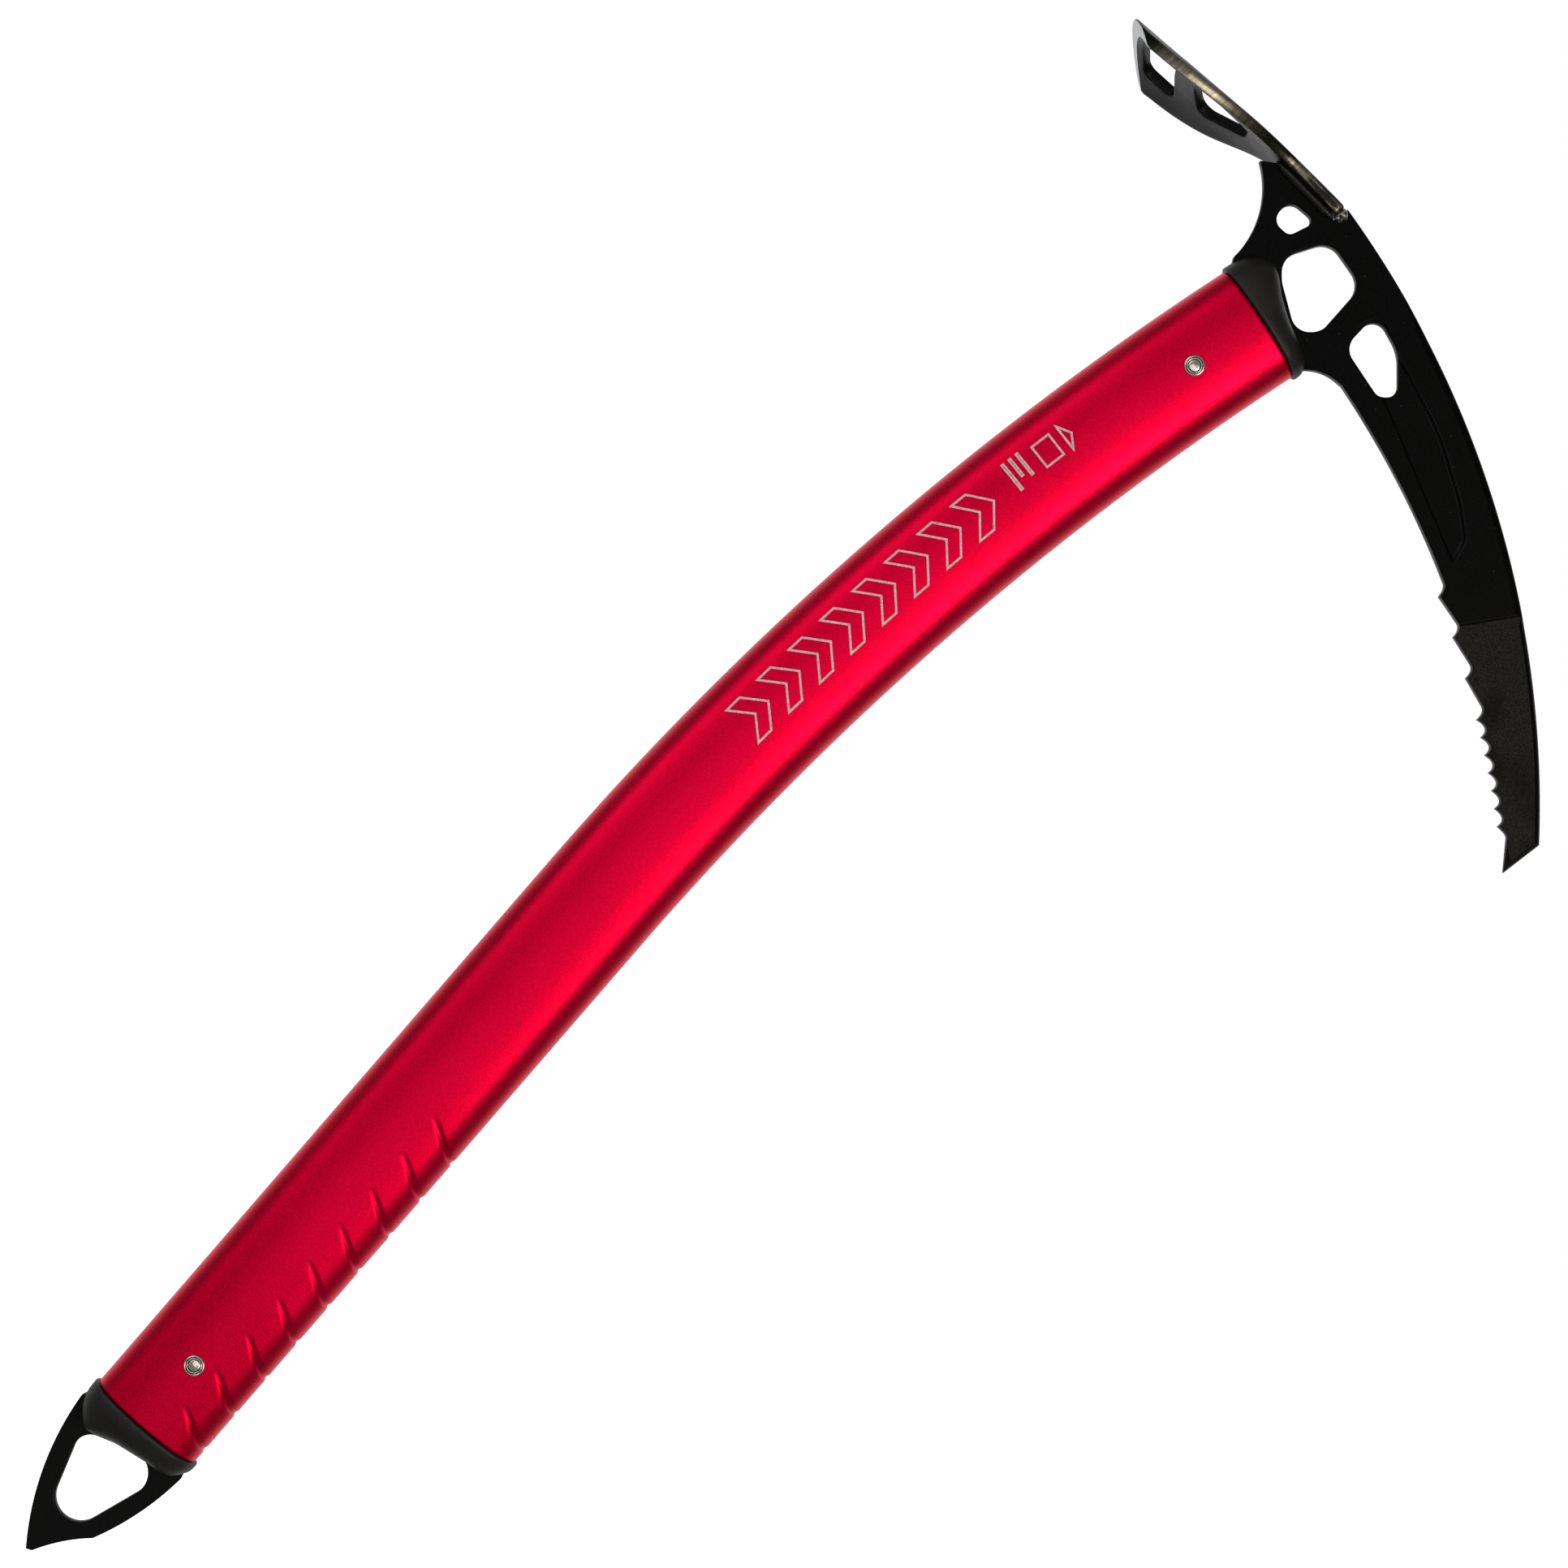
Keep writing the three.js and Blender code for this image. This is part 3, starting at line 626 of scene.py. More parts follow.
def plate_mesh(outline, holes, edge_break, top, bottom, place, extra=(), creases=(), lower=1.0):
    """Vertices and faces of a plate with broken edges.

    edge_break(u, v, is_hole) gives the width and depth of a broken edge, top and bottom (u, v) the two faces,
    and place (u, v, w) the point in the frame. extra and creases are points inside the outline. lower is the
    share of the depth that the bottom face's edges have.
    """
    loops = [turned(outline, True)] + [turned(hole, False) for hole in holes]
    rings = [(across, down, False) for across, down in reversed(EDGE_PROFILE)]
    rings += [(across, down, True) for across, down in EDGE_PROFILE]
    vertices, faces, inner_loops, seams, rim = [], [], [], [], []
    for number, loop in enumerate(loops):
        breaks = [edge_break(p.x, p.y, number > 0) for p in loop]
        inner = inset(loop, [width for width, _ in breaks])
        count = len(loop)
        start = len(vertices)
        for across, down, upper in rings:
            for p, q, (_, depth) in zip(loop, inner, breaks):
                spot = p.lerp(q, across)
                drop = depth * (1 - down)
                level = top(spot.x, spot.y) - drop if upper else bottom(spot.x, spot.y) + lower * drop
                vertices.append(place(spot.x, spot.y, level))
        for face in rings_to_faces(len(rings), count, closed=False):
            faces.append(tuple(start + k for k in face))
        seams += [(len(rim) + i, len(rim) + (i + 1) % count) for i in range(count)]
        rim += [(start + i, start + (len(rings) - 1) * count + i) for i in range(count)]
        inner_loops.append(inner)
    flat = [p for inner in inner_loops for p in inner] + [Vector(p) for p in extra]
    for crease in creases:
        seams += [(len(flat) + i, len(flat) + i + 1) for i in range(len(crease) - 1)]
        flat += [Vector(p) for p in crease]
    spots, _, triangles, origins, _, _ = delaunay_2d_cdt(flat, seams, [], 0, 1e-5)
    kept = []
    for triangle in triangles:
        middle = sum((spots[k] for k in triangle), Vector((0, 0))) / 3
        if within(middle, inner_loops[0]) and not any(within(middle, hole) for hole in inner_loops[1:]):
            kept.append(triangle)
    for upper in (False, True):
        index = []
        for spot, origin in zip(spots, origins):
            known = [k for k in origin if k < len(rim)]
            if known:
                index.append(rim[known[0]][upper])
            else:
                index.append(len(vertices))
                level = top(spot.x, spot.y) if upper else bottom(spot.x, spot.y)
                vertices.append(place(spot.x, spot.y, level))
        faces += [tuple(index[k] for k in triangle) for triangle in kept]
    return vertices, faces


def tidy_mesh(piece):
    """Joins points that fell together and drops what that leaves without area."""
    bm = bmesh.new()
    bm.from_mesh(piece.data)
    bmesh.ops.remove_doubles(bm, verts=bm.verts, dist=MERGE * MM)
    bmesh.ops.dissolve_degenerate(bm, edges=bm.edges, dist=0.5 * MERGE * MM)
    bmesh.ops.recalc_face_normals(bm, faces=bm.faces)
    bm.to_mesh(piece.data)
    bm.free()


def cut_with(piece, cutter):
    """Cuts another mesh out of the piece, and removes the cutter."""
    boolean = piece.modifiers.new("cut", "BOOLEAN")
    boolean.operation, boolean.solver, boolean.object = "DIFFERENCE", "MANIFOLD", cutter
    cut_mesh = bpy.data.meshes.new_from_object(piece.evaluated_get(bpy.context.evaluated_depsgraph_get()))
    piece.modifiers.clear()
    old = piece.data
    piece.data = cut_mesh
    cut_mesh.name = old.name
    bpy.data.meshes.remove(old)
    bpy.data.objects.remove(cutter)


def level_faces(mesh):
    """For each face, whether it lies flat in the blade's plane."""
    levels = []
    for polygon in mesh.polygons:
        heights = [mesh.vertices[i].co.y for i in polygon.vertices]
        levels.append(max(heights) - min(heights) < 0.002 * MM)
    return levels


def finish_edges(piece):
    """Smooth shading that keeps the flats of a blade true right up to their broken edges."""
    level = level_faces(piece.data)
    bm = bmesh.new()
    bm.from_mesh(piece.data)
    for face in bm.faces:
        face.smooth = True
    for edge in bm.edges:
        if len(edge.link_faces) == 2:
            one, other = edge.link_faces
            alike = level[one.index] == level[other.index]
            edge.smooth = alike and edge.calc_face_angle(0) < math.radians(SMOOTH_ANGLE)
    bm.to_mesh(piece.data)
    bm.free()
    normals = []
    for polygon in piece.data.polygons:
        outward = math.copysign(1, polygon.center.y)
        normals += [(0, outward, 0) if level[polygon.index] else (0, 0, 0)] * polygon.loop_total
    piece.data.normals_split_custom_set(normals)


def flat_place(u, v, w):
    """The blade's plane: u is x, v is z and the thickness runs across, with the left face on top."""
    return Vector((u, -w, v))


def past_step(u, v):
    """How far a point of the pick lies past the step, towards the tip."""
    along = (Vector(STEP_TO) - Vector(STEP_FROM)).normalized()
    reach = Vector((u, v)) - Vector(STEP_FROM)
    return reach.x * along.y - reach.y * along.x


def head_edge_break(u, v, is_hole):
    """Width and depth of the head's broken edge, ground wide along the spine and wider past the step."""
    if is_hole:
        relieved = max(0, 1 - math.dist((u, v), PICK_HOLE_RELIEF) / RELIEF_REACH)
        return 0.5 + 0.9 * relieved, 0.45 + 0.6 * relieved
    from_spine = SPINE_RADIUS - math.dist((u, v), SPINE_CENTRE)
    on_spine = from_spine < 0.1 or u > TIP_GRIND_FROM
    ground = min(1, max(0, (u - GRIND_FROM) / GRIND_RUN_IN)) if on_spine else 0
    step = min(1, max(0, past_step(u, v) / 3))
    plain = 0.32 + 0.3 * step
    return plain + (1.6 + 1.5 * step) * ground, plain + (0.75 + 0.1 * step) * ground


PRESSED_PROFILE = [(-0.6, -0.6), (0, 0), (0.3, 0.14), (0.7, 0.86), (1, 1)]    # share of slope and depth


def end_caps(rings, count):
    """Faces that close the first and last of the rings."""
    return [tuple(range(count)), tuple(reversed(range((rings - 1) * count, rings * count)))]


def pressed_cutter(name, loop, slope, depth, half, side):
    """A solid whose sloping sides press a shape into one face of a plate."""
    loop = turned(loop, True)
    count = len(loop)
    vertices = []
    for share, level in PRESSED_PROFILE:
        for p in inset(loop, [share * slope] * count):
            vertices.append(flat_place(p.x, p.y, side * (half - depth * level)))
    faces = rings_to_faces(len(PRESSED_PROFILE), count, closed=False) + end_caps(len(PRESSED_PROFILE), count)
    return new_object(name, vertices, faces, [])


def blend(tree, amount, first, last):
    """A colour between two, which are hex colours or links."""
    first, last = (linear(c) if isinstance(c, str) else c for c in (first, last))
    return add_node(tree, "ShaderNodeMix", {"data_type": "RGBA"}, n0=amount, n6=first, n7=last).outputs[2]


def maths(tree, operation, first, last):
    """One step of arithmetic on two numbers or links."""
    return add_node(tree, "ShaderNodeMath", {"operation": operation}, n0=first, n1=last).outputs[0]


def blasted_tip(tree, place, plain):
    """The fleck amount of a plate whose pick is blasted coarser, in patches, past the step."""
    reach = add_node(tree, "ShaderNodeVectorMath", {"operation": "DOT_PRODUCT"}, n0=place, n1=ALONG_PICK)
    past = spread(tree, reach.outputs["Value"], STEP_REACH, STEP_REACH + 1 * MM, 0.0, 1.0)
    coarse = spread(tree, noise_at(tree, place, 0.34, 2.0, 0.6), 0.38, 0.66, 0.55, 1.9)
    patch = spread(tree, noise_at(tree, place, 14), 0.33, 0.48, 0.4, 1.0)
    blasted = maths(tree, "MULTIPLY", coarse, patch)
    return add_node(tree, "ShaderNodeMix", n0=past, n2=plain, n3=blasted).outputs[0]


def coated_steel(name, base="#020202", fleck="#1E1E1C", grain=0.28, rough=(0.34, 0.48), specular=0.06,
                 wear=0.3, has_tip=False):
    """Black baked coating over blasted steel: satin and faintly pitted, with dust-sized pale flecks.

    Edges are lighter by the amount of wear.
    """
    material, tree, surface, place = material_base(name)
    grit = noise_at(tree, place, grain, 3.0, 0.7)
    amount = spread(tree, grit, 0.58, 0.74, 0.0, 1.0)
    if has_tip:
        amount = blasted_tip(tree, place, amount)
    skin = add_node(tree, "ShaderNodeMix", {"data_type": "RGBA", "clamp_factor": False}, n0=amount,
                    n6=linear(base), n7=linear(fleck)).outputs[2]
    if wear:
        edges = add_node(tree, "ShaderNodeNewGeometry").outputs["Pointiness"]
        skin = blend(tree, spread(tree, edges, 0.53, 0.62, 0.0, wear), skin, "#3A3936")
    dust = add_node(tree, "ShaderNodeTexVoronoi", Vector=place, Scale=size_scale(1.9))
    chance = add_node(tree, "ShaderNodeSeparateColor", Color=dust.outputs["Color"]).outputs[0]
    speck = maths(tree, "LESS_THAN", dust.outputs["Distance"], maths(tree, "MULTIPLY", chance, 0.06))
    sheen = noise_at(tree, place, 9, 4.0)
    set_inputs(tree, surface, Base_Color=blend(tree, speck, skin, "#4C4A43"), IOR=1.5,
               Specular_IOR_Level=specular, Roughness=spread(tree, sheen, 0.3, 0.7, *rough),
               Normal=relief(tree, grit, 0.35, 0.08))
    return material


def make_head_plate():
    half = HEAD_THICKNESS / 2
    vertices, faces = plate_mesh(
        head_outline(), [rounded(LEASH_HOLE), rounded(HEAD_EYE), rounded(PICK_HOLE)], head_edge_break,
        lambda u, v: half, lambda u, v: -half, flat_place)
    face_coating = coated_steel("baked_coating_on_forged_faces", wear=0, has_tip=True)
    edge_coating = coated_steel("baked_coating_on_ground_edges")
    flute_coating = coated_steel("baked_coating_in_flute", specular=0.14, wear=0)
    piece = new_object("head_plate_forged", vertices, faces, [face_coating, edge_coating, flute_coating])
    tidy_mesh(piece)
    # The step's line is drawn out well past both edges of the pick.
    step_in, step_out = [Vector(STEP_FROM).lerp(Vector(STEP_TO), share) for share in (-1.2, 2.2)]
    tip_zone = [step_in] + [Vector(p) for p in PICK_TIP_ZONE] + [step_out]
    ground_off = (HEAD_THICKNESS - PICK_TIP_THICKNESS) / 2
    for side in (-1, 1):
        cut_with(piece, pressed_cutter("flute_cutter", rounded(FLUTE), FLUTE_SLOPE, FLUTE_DEPTH, half, side))
        cut_with(piece, pressed_cutter("step_cutter", tip_zone, 0.5, ground_off, half, side))
    finish_edges(piece)
    flute = turned(rounded(FLUTE), True)
    for polygon, is_level in zip(piece.data.polygons, level_faces(piece.data)):
        middle = polygon.center / MM
        in_flute = half - FLUTE_DEPTH - 0.01 < abs(middle.y) and within(Vector((middle.x, middle.z)), flute)
        polygon.material_index = 0 if is_level else 2 if in_flute else 1
    return piece


head_plate = make_head_plate()
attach(head_plate, "root")
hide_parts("head_plate")

# ==== Adze ==========================================================================================
# A 2.8 mm steel blade, blanked to a fan with two windows, bent down at its neck and arched across. Its
# tongue is welded along the head. The cutting edge is ground bare from below, so it is pale beside the black.

ADZE_THICKNESS, ADZE_NECK, ADZE_CROWN = 2.8, -24, 18
ADZE_DROOP, ADZE_ARCH, ADZE_SKEW = 0.095, 60, 0.08
TONGUE_END = -9.4
CUT_MIDDLE, CUT_END, CUT_HALF = -81.6, -71, 20.6    # control point and ends of the cutting edge's curve
GRIND_WIDTH, GRIND_LEFT = 3.6, 0.5                  # width of the ground bevel, and steel left at the edge
SHEARED_FROM = -69                                  # x of the blade's corners, where its sheared sides begin
ADZE_GRID, WINDOW_MARGIN = 2.1, 1.2                 # pitch of its inner points, and a width round a window
ADZE_WINDOWS = [
    [(-68.6, -14.8, 3), (-58.9, -15.4, 2), (-61.6, 0, 40),
     (-58.9, 15.4, 2), (-68.6, 14.8, 3), (-71.8, 0, 40)],
    [(-51.8, -12.6, 3), (-38.4, -3.8, 2.5), (-38.4, 3.8, 2.5), (-51.8, 12.6, 3), (-56, 0, 20)],
]


def adze_outline():
    pen = Pen((TONGUE_END, -3.5), 0.9)
    pen.curve((TONGUE_END, -5), (TONGUE_END - 2, -5)).line((-25, -5.5))
    pen.curve((-38, -9.5), (-42, -21.5), (-64, -22.4)).curve((-69.5, -23.4), (CUT_END, -CUT_HALF))
    pen.curve((CUT_MIDDLE, 0), (CUT_END, CUT_HALF)).curve((-69.5, 23.4), (-64, 22.4))
    pen.curve((-42, 21.5), (-38, 9.5), (-25, 5.5)).line((TONGUE_END - 2, 5))
    pen.curve((TONGUE_END, 5), (TONGUE_END, 3.5))
    return pen.points


def cutting_edge(v):
    """x of the cutting edge at a distance across the blade."""
    share = (v / CUT_HALF + 1) / 2
    return CUT_END * ((1 - share) ** 2 + share ** 2) + CUT_MIDDLE * 2 * share * (1 - share)


def adze_place(u, v, w):
    """Bends the flat blank: skewed edge, arch across, and a droop that starts at the neck."""
    x = u + ADZE_SKEW * v * min(1, max(0, ADZE_NECK - u) / 25)
    beyond = ADZE_NECK - x
    bow = ADZE_DROOP * (math.hypot(beyond, 6) + beyond) / 2
    return Vector((x, v, ADZE_CROWN - ADZE_THICKNESS / 2 - bow - v * v / (2 * ADZE_ARCH) + w))


def adze_underside(u, v):
    left = 1 - min(1, max(0, u - cutting_edge(v)) / GRIND_WIDTH)
    return -ADZE_THICKNESS / 2 + (ADZE_THICKNESS - GRIND_LEFT) * left


def adze_edge_break(u, v, is_hole):
    if u - cutting_edge(v) < 0.4 and abs(v) < CUT_HALF + 1:
        return 0.15, 0.12
    if u - cutting_edge(v) < GRIND_WIDTH:
        return 0.25, 0.15
    return (0.45, 0.4) if is_hole else (0.7, 0.75)


def stretched(tree, place, scale):
    """Coordinates that draw a pattern out along the axes whose scale is small."""
    return add_node(tree, "ShaderNodeMapping", Vector=place, Scale=scale).outputs[0]


def ground_steel():
    """Bare steel left by a grinding belt: bright, with fine parallel scratches across the edge."""
    material, tree, surface, place = material_base("belt_ground_steel")
    scratch = noise_at(tree, stretched(tree, place, (0.12, 1.0, 0.12)), 0.3, 4.0)
    steel = two_tones(tree, scratch, 0.3, 0.7, "#8E9092", "#C4C7CB")
    set_inputs(tree, surface, Base_Color=steel, Roughness=spread(tree, scratch, 0.3, 0.7, 0.26, 0.42),
               Metallic=1.0, Normal=relief(tree, scratch, 0.3, 0.05))
    return material


def sheared_edge_with_painted_highlight():
    """The blanked side of the blade, burnished by the die: streaked across its thickness.

    Its bright steel tone is a painted highlight: a band along the fan, from -69 to -33 mm, and streaks along
    the tongue, past -29 mm.
    """
    material, tree, surface, place = material_base("die_sheared_edge_painted_highlight")
    streak = noise_at(tree, stretched(tree, place, (1.0, 1.0, 0.08)), 0.8, 1.0)
    x = add_node(tree, "ShaderNodeSeparateXYZ", Vector=place).outputs["X"]
    # Painted highlight band along the fan, and painted highlight streaks on the tongue.
    outer = spread(tree, x, -0.069, -0.06, 0.02, 1.0, smooth=True)
    inner = spread(tree, x, -0.05, -0.033, 1.0, 0.04, smooth=True)
    tongue = spread(tree, x, -0.029, -0.025, 0.0, 1.0, smooth=True)
    highlight_streak_noise = noise_at(tree, stretched(tree, place, (0.09, 1.0, 1.0)), 0.9, 1.0)
    tongue_highlight_streaks = maths(tree, "MULTIPLY", spread(tree, highlight_streak_noise, 0.47, 0.6, 0.0, 0.75), tongue)
    painted_highlight_mask = maths(tree, "MAXIMUM", maths(tree, "MULTIPLY", outer, inner), tongue_highlight_streaks)
    steel = two_tones(tree, streak, 0.34, 0.66, "#6E6C60", "#9A9786")
    set_inputs(tree, surface, Base_Color=blend(tree, painted_highlight_mask, "#0A0A09", steel), Roughness=0.3, Metallic=0.85,
               Normal=relief(tree, streak, 0.3, 0.1))
    return material


def make_adze():
    outline = adze_outline()
    windows = [rounded(corners, 0.7) for corners in ADZE_WINDOWS]
    grid = []
    for i in range(34):
        for j in range(-11, 12):
            spot = Vector((-78 + ADZE_GRID * i, ADZE_GRID * j))
            near = min((spot - p).length for loop in [outline] + windows for p in loop)
            off_crease = abs(spot.x - cutting_edge(spot.y) - GRIND_WIDTH) > 0.8
            in_steel = within(spot, outline) and not any(within(spot, window) for window in windows)
            if near > 1.3 and off_crease and in_steel:
                grid.append(spot)
    wide_windows = [inset(turned(window, False), [WINDOW_MARGIN] * len(window)) for window in windows]
    reach = CUT_HALF + 1.2
    crease = [(cutting_edge(v) + GRIND_WIDTH, v) for v in (reach * (i / 14 - 1) for i in range(29))]
    half = ADZE_THICKNESS / 2
    vertices, faces = plate_mesh(outline, windows, adze_edge_break, lambda u, v: half, adze_underside,
                                 adze_place, grid, [crease], lower=0.5)
    piece = new_object("adze_forged", vertices, faces,
                       [coated_steel("baked_coating_on_adze", "#080808", "#20201F", 0.3, (0.34, 0.46), 0.13),
                        ground_steel(), sheared_edge_with_painted_highlight()])
    tidy_mesh(piece)
    for polygon in piece.data.polygons:
        middle = polygon.center / MM
        flat = Vector((middle.x - ADZE_SKEW * middle.y, middle.y))
        upright = abs(polygon.normal.z) < 0.75
        if polygon.normal.z < -0.2 and flat.x - cutting_edge(flat.y) < GRIND_WIDTH + 0.05:
            polygon.material_index = 1
        # The sheared sides take the painted highlight.
        elif upright and flat.x > SHEARED_FROM and not any(within(flat, window) for window in wide_windows):
            polygon.material_index = 2
    shade(piece.data)
    return piece


adze = make_adze()
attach(adze, "root")
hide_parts("adze_blade")

# ==== Weld ==========================================================================================
# Two hand-laid fillet beads join the adze's tongue to the head, one on each side, and a tack closes its end.
# Each is a run of overlapping frozen ripples, left dull and only thinly covered by the black coating.

WELD_FROM, WELD_TO, WELD_PITCH = -28.5, -9.6, 1.3
WELD_OUT, WELD_RISE, WELD_RADIUS = 2.4, 14.1, 1.2    # y and z of a bead's centre line, and its radius
TACK_PLACE, TACK_SIZE = (-8.6, -1.5, 16.2), (1.5, 2.3, 1.9)


def weld_steel(name, shaded_hollow, lit_ridge):
    """Weld metal, with painted shade in the hollows and a painted highlight along the crests of the ripples.
    """
    material, tree, surface, place = material_base(name)
    scale = noise_at(tree, place, 0.8, 4.0)
    edges = add_node(tree, "ShaderNodeNewGeometry").outputs["Pointiness"]
    # Painted highlight on the convex crests, painted shade in the hollows.
    crest_highlight = spread(tree, edges, 0.49, 0.56, 0.0, 0.8)
    set_inputs(tree, surface, Base_Color=blend(tree, crest_highlight, shaded_hollow, lit_ridge), Metallic=0.6,
               Roughness=spread(tree, scale, 0.3, 0.7, 0.22, 0.5), Normal=relief(tree, scale, 0.4, 0.2))
    return material


# The tack is bare metal and the beads are thinly coated; both carry the painted shade and highlight.
COATED_WELD = weld_steel("weld_under_coating", "#0B0B0A", "#37352F")
BARE_WELD = weld_steel("weld_tack_bare", "#2B2924", "#C9C5B8")


def make_weld(name, side, seed):
    """A bead in the corner under the tongue, its ripples a little uneven."""
    chance = random.Random(seed)
    sections, around = 190, 20
    jog = [chance.uniform(-0.04, 0.04) for _ in range(40)]    # more than there are ripples
    vertices = []
    for i in range(sections):
        share = i / (sections - 1)
        x = WELD_FROM + (WELD_TO - WELD_FROM) * share
        phase = (x - WELD_FROM) / WELD_PITCH
        ripple = abs(math.sin(math.pi * phase)) ** 0.6
        body = min(1, 6 * share, 6 * (1 - share)) ** 0.5
        swell = 0.16 * noise.noise(Vector((x * 0.45, side * 5, seed)))
        radius = (WELD_RADIUS + 0.06 * ripple + swell + jog[int(phase)]) * max(0.05, body)
        for c, s in circle(around):
            out, rise = WELD_OUT + radius * c * 0.95, WELD_RISE + radius * s * 0.95
            vertices.append((x + 0.35 * c, side * out, rise))
    faces = rings_to_faces(sections, around, closed=False) + end_caps(sections, around)
    return new_object(name, vertices, faces, [COATED_WELD], 60)


def make_tack():
    """The blob that closes the tongue's end, drawn out a little where the rod was pulled away."""
    rows, around = 28, 36
    vertices = []
    for i in range(rows):
        lift = math.pi * i / (rows - 1)
        for c, s in circle(around):
            way = Vector((math.sin(lift) * c, math.sin(lift) * s, math.cos(lift)))
            size = 1 + 0.22 * noise.noise(way * 1.7 + Vector((3.1, 0.4, 8.2))) + 0.07 * noise.noise(way * 5)
            vertices.append([TACK_PLACE[n] + TACK_SIZE[n] * size * way[n] for n in range(3)])
    faces = rings_to_faces(rows, around, closed=False)
    piece = new_object("adze_tack_blob", vertices, faces, [BARE_WELD], 60)
    tidy_mesh(piece)
    piece.data.shade_smooth()
    return piece


for weld, node in ((make_weld("weld_bead_left", -1, 4), "adze_weld_left"),
                   (make_weld("weld_bead_right", 1, 9), "adze_weld_right"),
                   (make_tack(), "adze_weld_end")):
    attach(weld, "root")
    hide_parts(node)

# ==== Spike =========================================================================================
# A laser-cut plate of 3 mm steel with a big rounded eye, ground to a point and coated like the head.
# Its tang is held in the tube by packers and one rivet.

SPIKE_THICKNESS = 3
SPIKE_EYE = [(-10.7, -402.6, 4.2), (2.2, -432.8, 6), (12.2, -392.7, 5.6)]


def at_spike_end(side, rise):
    return at_end(0, side, rise)


def spike_outline():
    pen = Pen(at_spike_end(TANG_HALF_WIDTH, TANG_LENGTH))
    pen.line(at_spike_end(-TANG_HALF_WIDTH, TANG_LENGTH), at_spike_end(-TANG_HALF_WIDTH, -0.3),
             at_spike_end(-SHOULDER_HALF_WIDTH, -0.3), at_spike_end(-SHOULDER_HALF_WIDTH, -1))
    pen.arc((54.5, -384.1), 72.1, -2.966, -2.416)
    pen.line((1.9, -431.2)).curve((5, -424), (9.9, -418.8))
    pen.arc((-55.7, -393.9), 70.2, -0.361, 0)
    pen.line(at_spike_end(SHOULDER_HALF_WIDTH, -1), at_spike_end(SHOULDER_HALF_WIDTH, -0.3),
             at_spike_end(TANG_HALF_WIDTH, -0.3))
    return pen.points


def make_spike():
    half = SPIKE_THICKNESS / 2
    vertices, faces = plate_mesh(spike_outline(), [rounded(SPIKE_EYE)],
                                 lambda u, v, is_hole: (0.5, 0.42) if is_hole else (0.38, 0.35),
                                 lambda u, v: half, lambda u, v: -half, flat_place)
    coating = coated_steel("baked_coating_on_cut_steel", "#111111")
    piece = new_object("spike_plate_cut", vertices, faces, [coating])
    tidy_mesh(piece)
    finish_edges(piece)
    return piece


spike = make_spike()
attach(spike, "root")
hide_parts("spike_plate")

# ==== Collars =======================================================================================
# Two caps moulded in black nylon close the tube's ends round the plates. Each stands 0.8 mm proud of the
# tube and falls in a soft shoulder to the plate, higher on the adze side than on the pick side.

COLLAR_PROUD = 0.8
COLLAR_GAP = 0.15    # between the collar and the tube's end, and round the plate
COLLAR_LIP = 0.6     # how far inside the rim the hidden inner wall starts
HEAD_COLLAR_RIM = [(-15.9, 4.8), (-14.9, 7), (-11.5, 10.2), (-7.7, 10.1), (-2.5, 7.9), (3.8, 6.1),
                   (9.8, 5.1), (13.7, 4.2), (15.8, 2.4)]    # (side, height)
SPIKE_COLLAR_RIM = [(-15.8, 3.9), (-14.7, 6.3), (-12.3, 9.1), (-10.1, 10.4), (-2.9, 8.4), (6.1, 6.9),
                    (12.9, 5.8), (15.8, 2.6)]


def moulded_nylon():
    """Glass-filled nylon from a spark-eroded mould: satin black with a very fine even grain."""
    material, tree, surface, place = material_base("moulded_black_nylon")
    grain = add_node(tree, "ShaderNodeTexVoronoi", {"feature": "SMOOTH_F1"}, Vector=place,
                     Scale=size_scale(0.35))
    flow = noise_at(tree, place, 6, 3.0)
    set_inputs(tree, surface, Base_Color=two_tones(tree, flow, 0.3, 0.7, "#100F0D", "#1A1915"), IOR=1.53,
               Specular_IOR_Level=0.38, Roughness=spread(tree, flow, 0.3, 0.7, 0.44, 0.56),
               Normal=relief(tree, grain.outputs["Distance"], 0.25, 0.08))
    return material


NYLON = moulded_nylon()


def rim_height(rim, side):
    """A smooth line through the rim's points."""
    side = min(max(side, rim[0][0]), rim[-1][0])
    for i in range(len(rim) - 1):
        (x0, y0), (x1, y1) = rim[i], rim[i + 1]
        if side <= x1:
            break
    before = rim[max(0, i - 1)]
    after = rim[min(len(rim) - 1, i + 2)]
    start = (y1 - before[1]) / (x1 - before[0]) * (x1 - x0)
    end = (after[1] - y0) / (after[0] - x0) * (x1 - x0)
    t = (side - x0) / (x1 - x0)
    return ((2 * t ** 3 - 3 * t ** 2 + 1) * y0 + (t ** 3 - 2 * t ** 2 + t) * start
            + (-2 * t ** 3 + 3 * t ** 2) * y1 + (t ** 3 - t ** 2) * end)


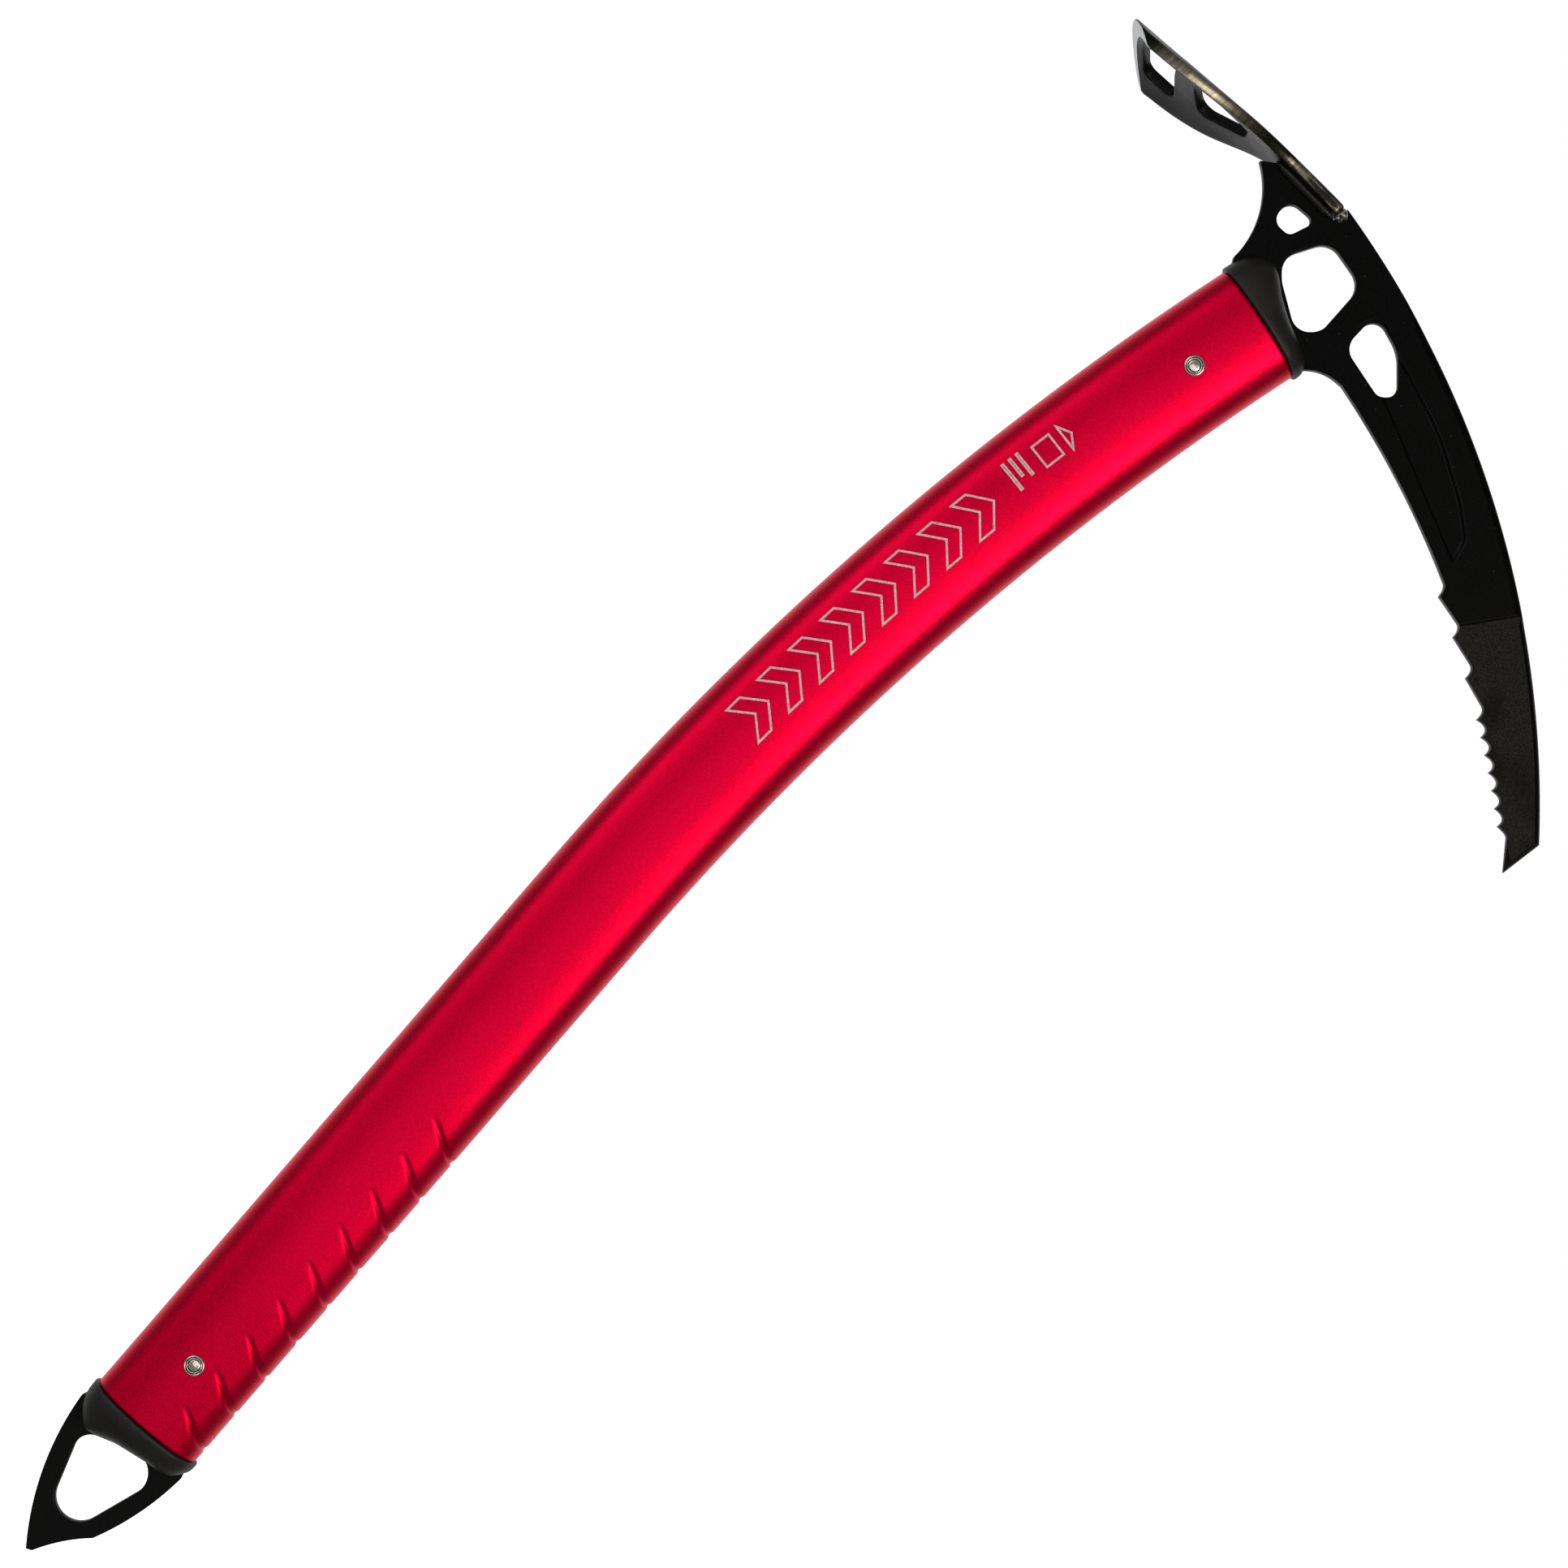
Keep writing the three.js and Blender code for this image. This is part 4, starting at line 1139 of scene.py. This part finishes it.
def make_collar(name, along, way, rim, plate_half):
    """A shoulder lofted from the tube's oval up to the plate's two faces, and a hidden inner wall."""
    turns = even_turns(160)
    levels = [0, 0.02, 0.05] + [0.05 + 0.95 * i / 22 for i in range(1, 23)]
    vertices = []
    for number, level in enumerate(levels):
        swell = COLLAR_PROUD - (0.25 if number == 0 else 0.07 if number == 1 else 0)    # a broken lower edge
        for turn in turns:
            side, out = oval(turn, -swell)
            height = rim_height(rim, side)
            slim = math.copysign(min(abs(out), plate_half + COLLAR_GAP), out)
            ease = math.sin(math.pi / 2 * level)
            fall = math.cos(math.pi / 2 * level) ** 0.85
            pulled = side * (1 - 0.045 * level ** 3)
            rise = way * (COLLAR_GAP + height * ease)
            vertices.append(shaft_point(along, pulled, slim + (out - slim) * fall, rise))
    for turn in turns:
        side, out = oval(turn, -COLLAR_PROUD)
        height = rim_height(rim, side)
        vertices.append(shaft_point(along, side * 0.9, math.copysign(min(abs(out), plate_half * 0.5), out),
                                    way * (height - COLLAR_LIP)))
    for turn in turns:
        side, out = oval(turn, WALL)
        vertices.append(shaft_point(along, side * 0.95, out * 0.95, way * COLLAR_GAP))
    return new_object(name, vertices, rings_to_faces(len(levels) + 2, len(turns)), [NYLON], 50)


head_collar = make_collar("head_collar_moulded", SHAFT_LENGTH, 1, HEAD_COLLAR_RIM, HEAD_THICKNESS / 2)
spike_collar = make_collar("spike_collar_moulded", 0, -1, SPIKE_COLLAR_RIM, SPIKE_THICKNESS / 2)
for collar, node in ((head_collar, "head_collar"), (spike_collar, "spike_collar")):
    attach(collar, "root")
    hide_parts(node)

# ==== Rivets ========================================================================================
# Two semi-tubular steel rivets, nickel plated and tumbled, run through tube, packers and tang.
# The left head is dished, and the tail on the right side is rolled over into a ring.

RIVET_SHANK, RIVET_HEAD, RIVET_PROUD, RIVET_FROM_END = 2.0, 2.5, 0.9, 19.5
RIVET_SEAMS = [(1.43, 1.59), (1.9, 2.02)]    # inner and outer radius of the seams in the dished head


def nickel_plate(name, turned_marks):
    """Nickel plate, warm and bright. Turning marks draw its shine out into two fans across the middle."""
    material, tree, surface, place = material_base(name)
    scuff = noise_at(tree, place, 0.5, 5.0)
    nickel = two_tones(tree, scuff, 0.32, 0.68, "#D6CEC0", "#EAE4D8")
    set_inputs(tree, surface, Base_Color=nickel, Roughness=spread(tree, scuff, 0.3, 0.7, 0.18, 0.26),
               Metallic=1.0, Normal=relief(tree, scuff, 0.06, 0.05))
    if turned_marks:
        around = add_node(tree, "ShaderNodeTangent", {"direction_type": "RADIAL", "axis": "Y"})
        set_inputs(tree, surface, Tangent=around.outputs["Tangent"], Anisotropic=turned_marks)
    return material


def seam_painted_shade():
    """Painted shade in the seams between a rivet's rings: dark and finely mottled."""
    material, tree, surface, place = material_base("painted_shade_in_rivet_seams")
    seam_shade = two_tones(tree, noise_at(tree, place, 0.2), 0.0, 1.0, "#14110C", "#2C261C")
    set_inputs(tree, surface, Base_Color=seam_shade, Roughness=0.7)
    return material


RIVET_FINISHES_AND_SEAM_SHADE = [nickel_plate("rolled_nickel_plate", 0), nickel_plate("turned_nickel_plate", 0.65),
                  seam_painted_shade()]


def make_rivet(name, along):
    """A turned profile: (radius, distance from the blade's middle), from the left head to the rolled tail."""
    face, top = OVAL_FACE + 0.1, OVAL_FACE + RIVET_PROUD
    half = [(0, top - 0.2), (0.5, top - 0.26), (1.0, top - 0.36), (1.4, top - 0.46), (1.45, top - 0.6),
            (1.57, top - 0.6), (1.6, top - 0.3), (1.7, top - 0.12), (1.86, top - 0.12), (1.92, top - 0.4),
            (2.0, top - 0.4), (2.04, top - 0.12), (2.2, top), (2.42, top - 0.1), (2.56, top - 0.4),
            (2.56, face - 0.15), (2.4, face - 0.35), (RIVET_SHANK, face - 0.4)]
    tail = [(RIVET_SHANK, face - 0.4), (2.35, face - 0.35), (RIVET_HEAD, face - 0.1), (2.4, top - 0.4),
            (2.1, top - 0.12), (1.7, top), (1.3, top - 0.15), (1.0, top - 0.6), (0.85, top - 1.3),
            (0, top - 1.4)]
    profile = [(radius, -height) for radius, height in half] + tail
    around = 56
    x, z, _ = shaft_frame(along)
    vertices = []
    for radius, height in profile:
        for c, s in circle(around):
            vertices.append((x + radius * c, height, z + radius * s))
    piece = new_object(name, vertices, rings_to_faces(len(profile), around, closed=False), RIVET_FINISHES_AND_SEAM_SHADE, 60)
    tidy_mesh(piece)
    for polygon in piece.data.polygons:
        middle = polygon.center / MM
        radius = math.hypot(middle.x - x, middle.z - z)
        if middle.y < -face + 0.2:
            # Faces in the seams of the dished head get the painted shade.
            in_seam = any(low < radius < high for low, high in RIVET_SEAMS)
            polygon.material_index = 2 if in_seam else int(radius < RIVET_SEAMS[0][0])
    piece.data.shade_smooth()
    rounding = piece.modifiers.new("soft_edges", "SUBSURF")
    rounding.levels = rounding.render_levels = 1
    return piece


for rivet, node in ((make_rivet("head_rivet_plated", SHAFT_LENGTH - RIVET_FROM_END), "head_rivet"),
                    (make_rivet("spike_rivet_plated", RIVET_FROM_END), "spike_rivet")):
    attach(rivet, "root")
    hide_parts(node)

# ==== Packers =======================================================================================
# Four half plugs of moulded grey nylon fill the tube on both sides of the tangs. They stay as the plain
# solids they are, because the tube and the collars hide them.


def packer_nylon():
    """Unfilled grey nylon, matt, with the cloudy flow marks of a thick moulding."""
    material, tree, surface, place = material_base("moulded_grey_nylon")
    flow = noise_at(tree, place, 5, 4.0)
    set_inputs(tree, surface, Base_Color=two_tones(tree, flow, 0.0, 1.0, "#424240", "#555552"), Roughness=0.6,
               Normal=relief(tree, flow, 0.2, 0.1))
    return material


GREY_NYLON = packer_nylon()
for end in ("head", "spike"):
    for hand in ("left", "right"):
        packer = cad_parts[f"{end}_packer_{hand}"]
        packer.data.materials.clear()
        packer.data.materials.append(GREY_NYLON)
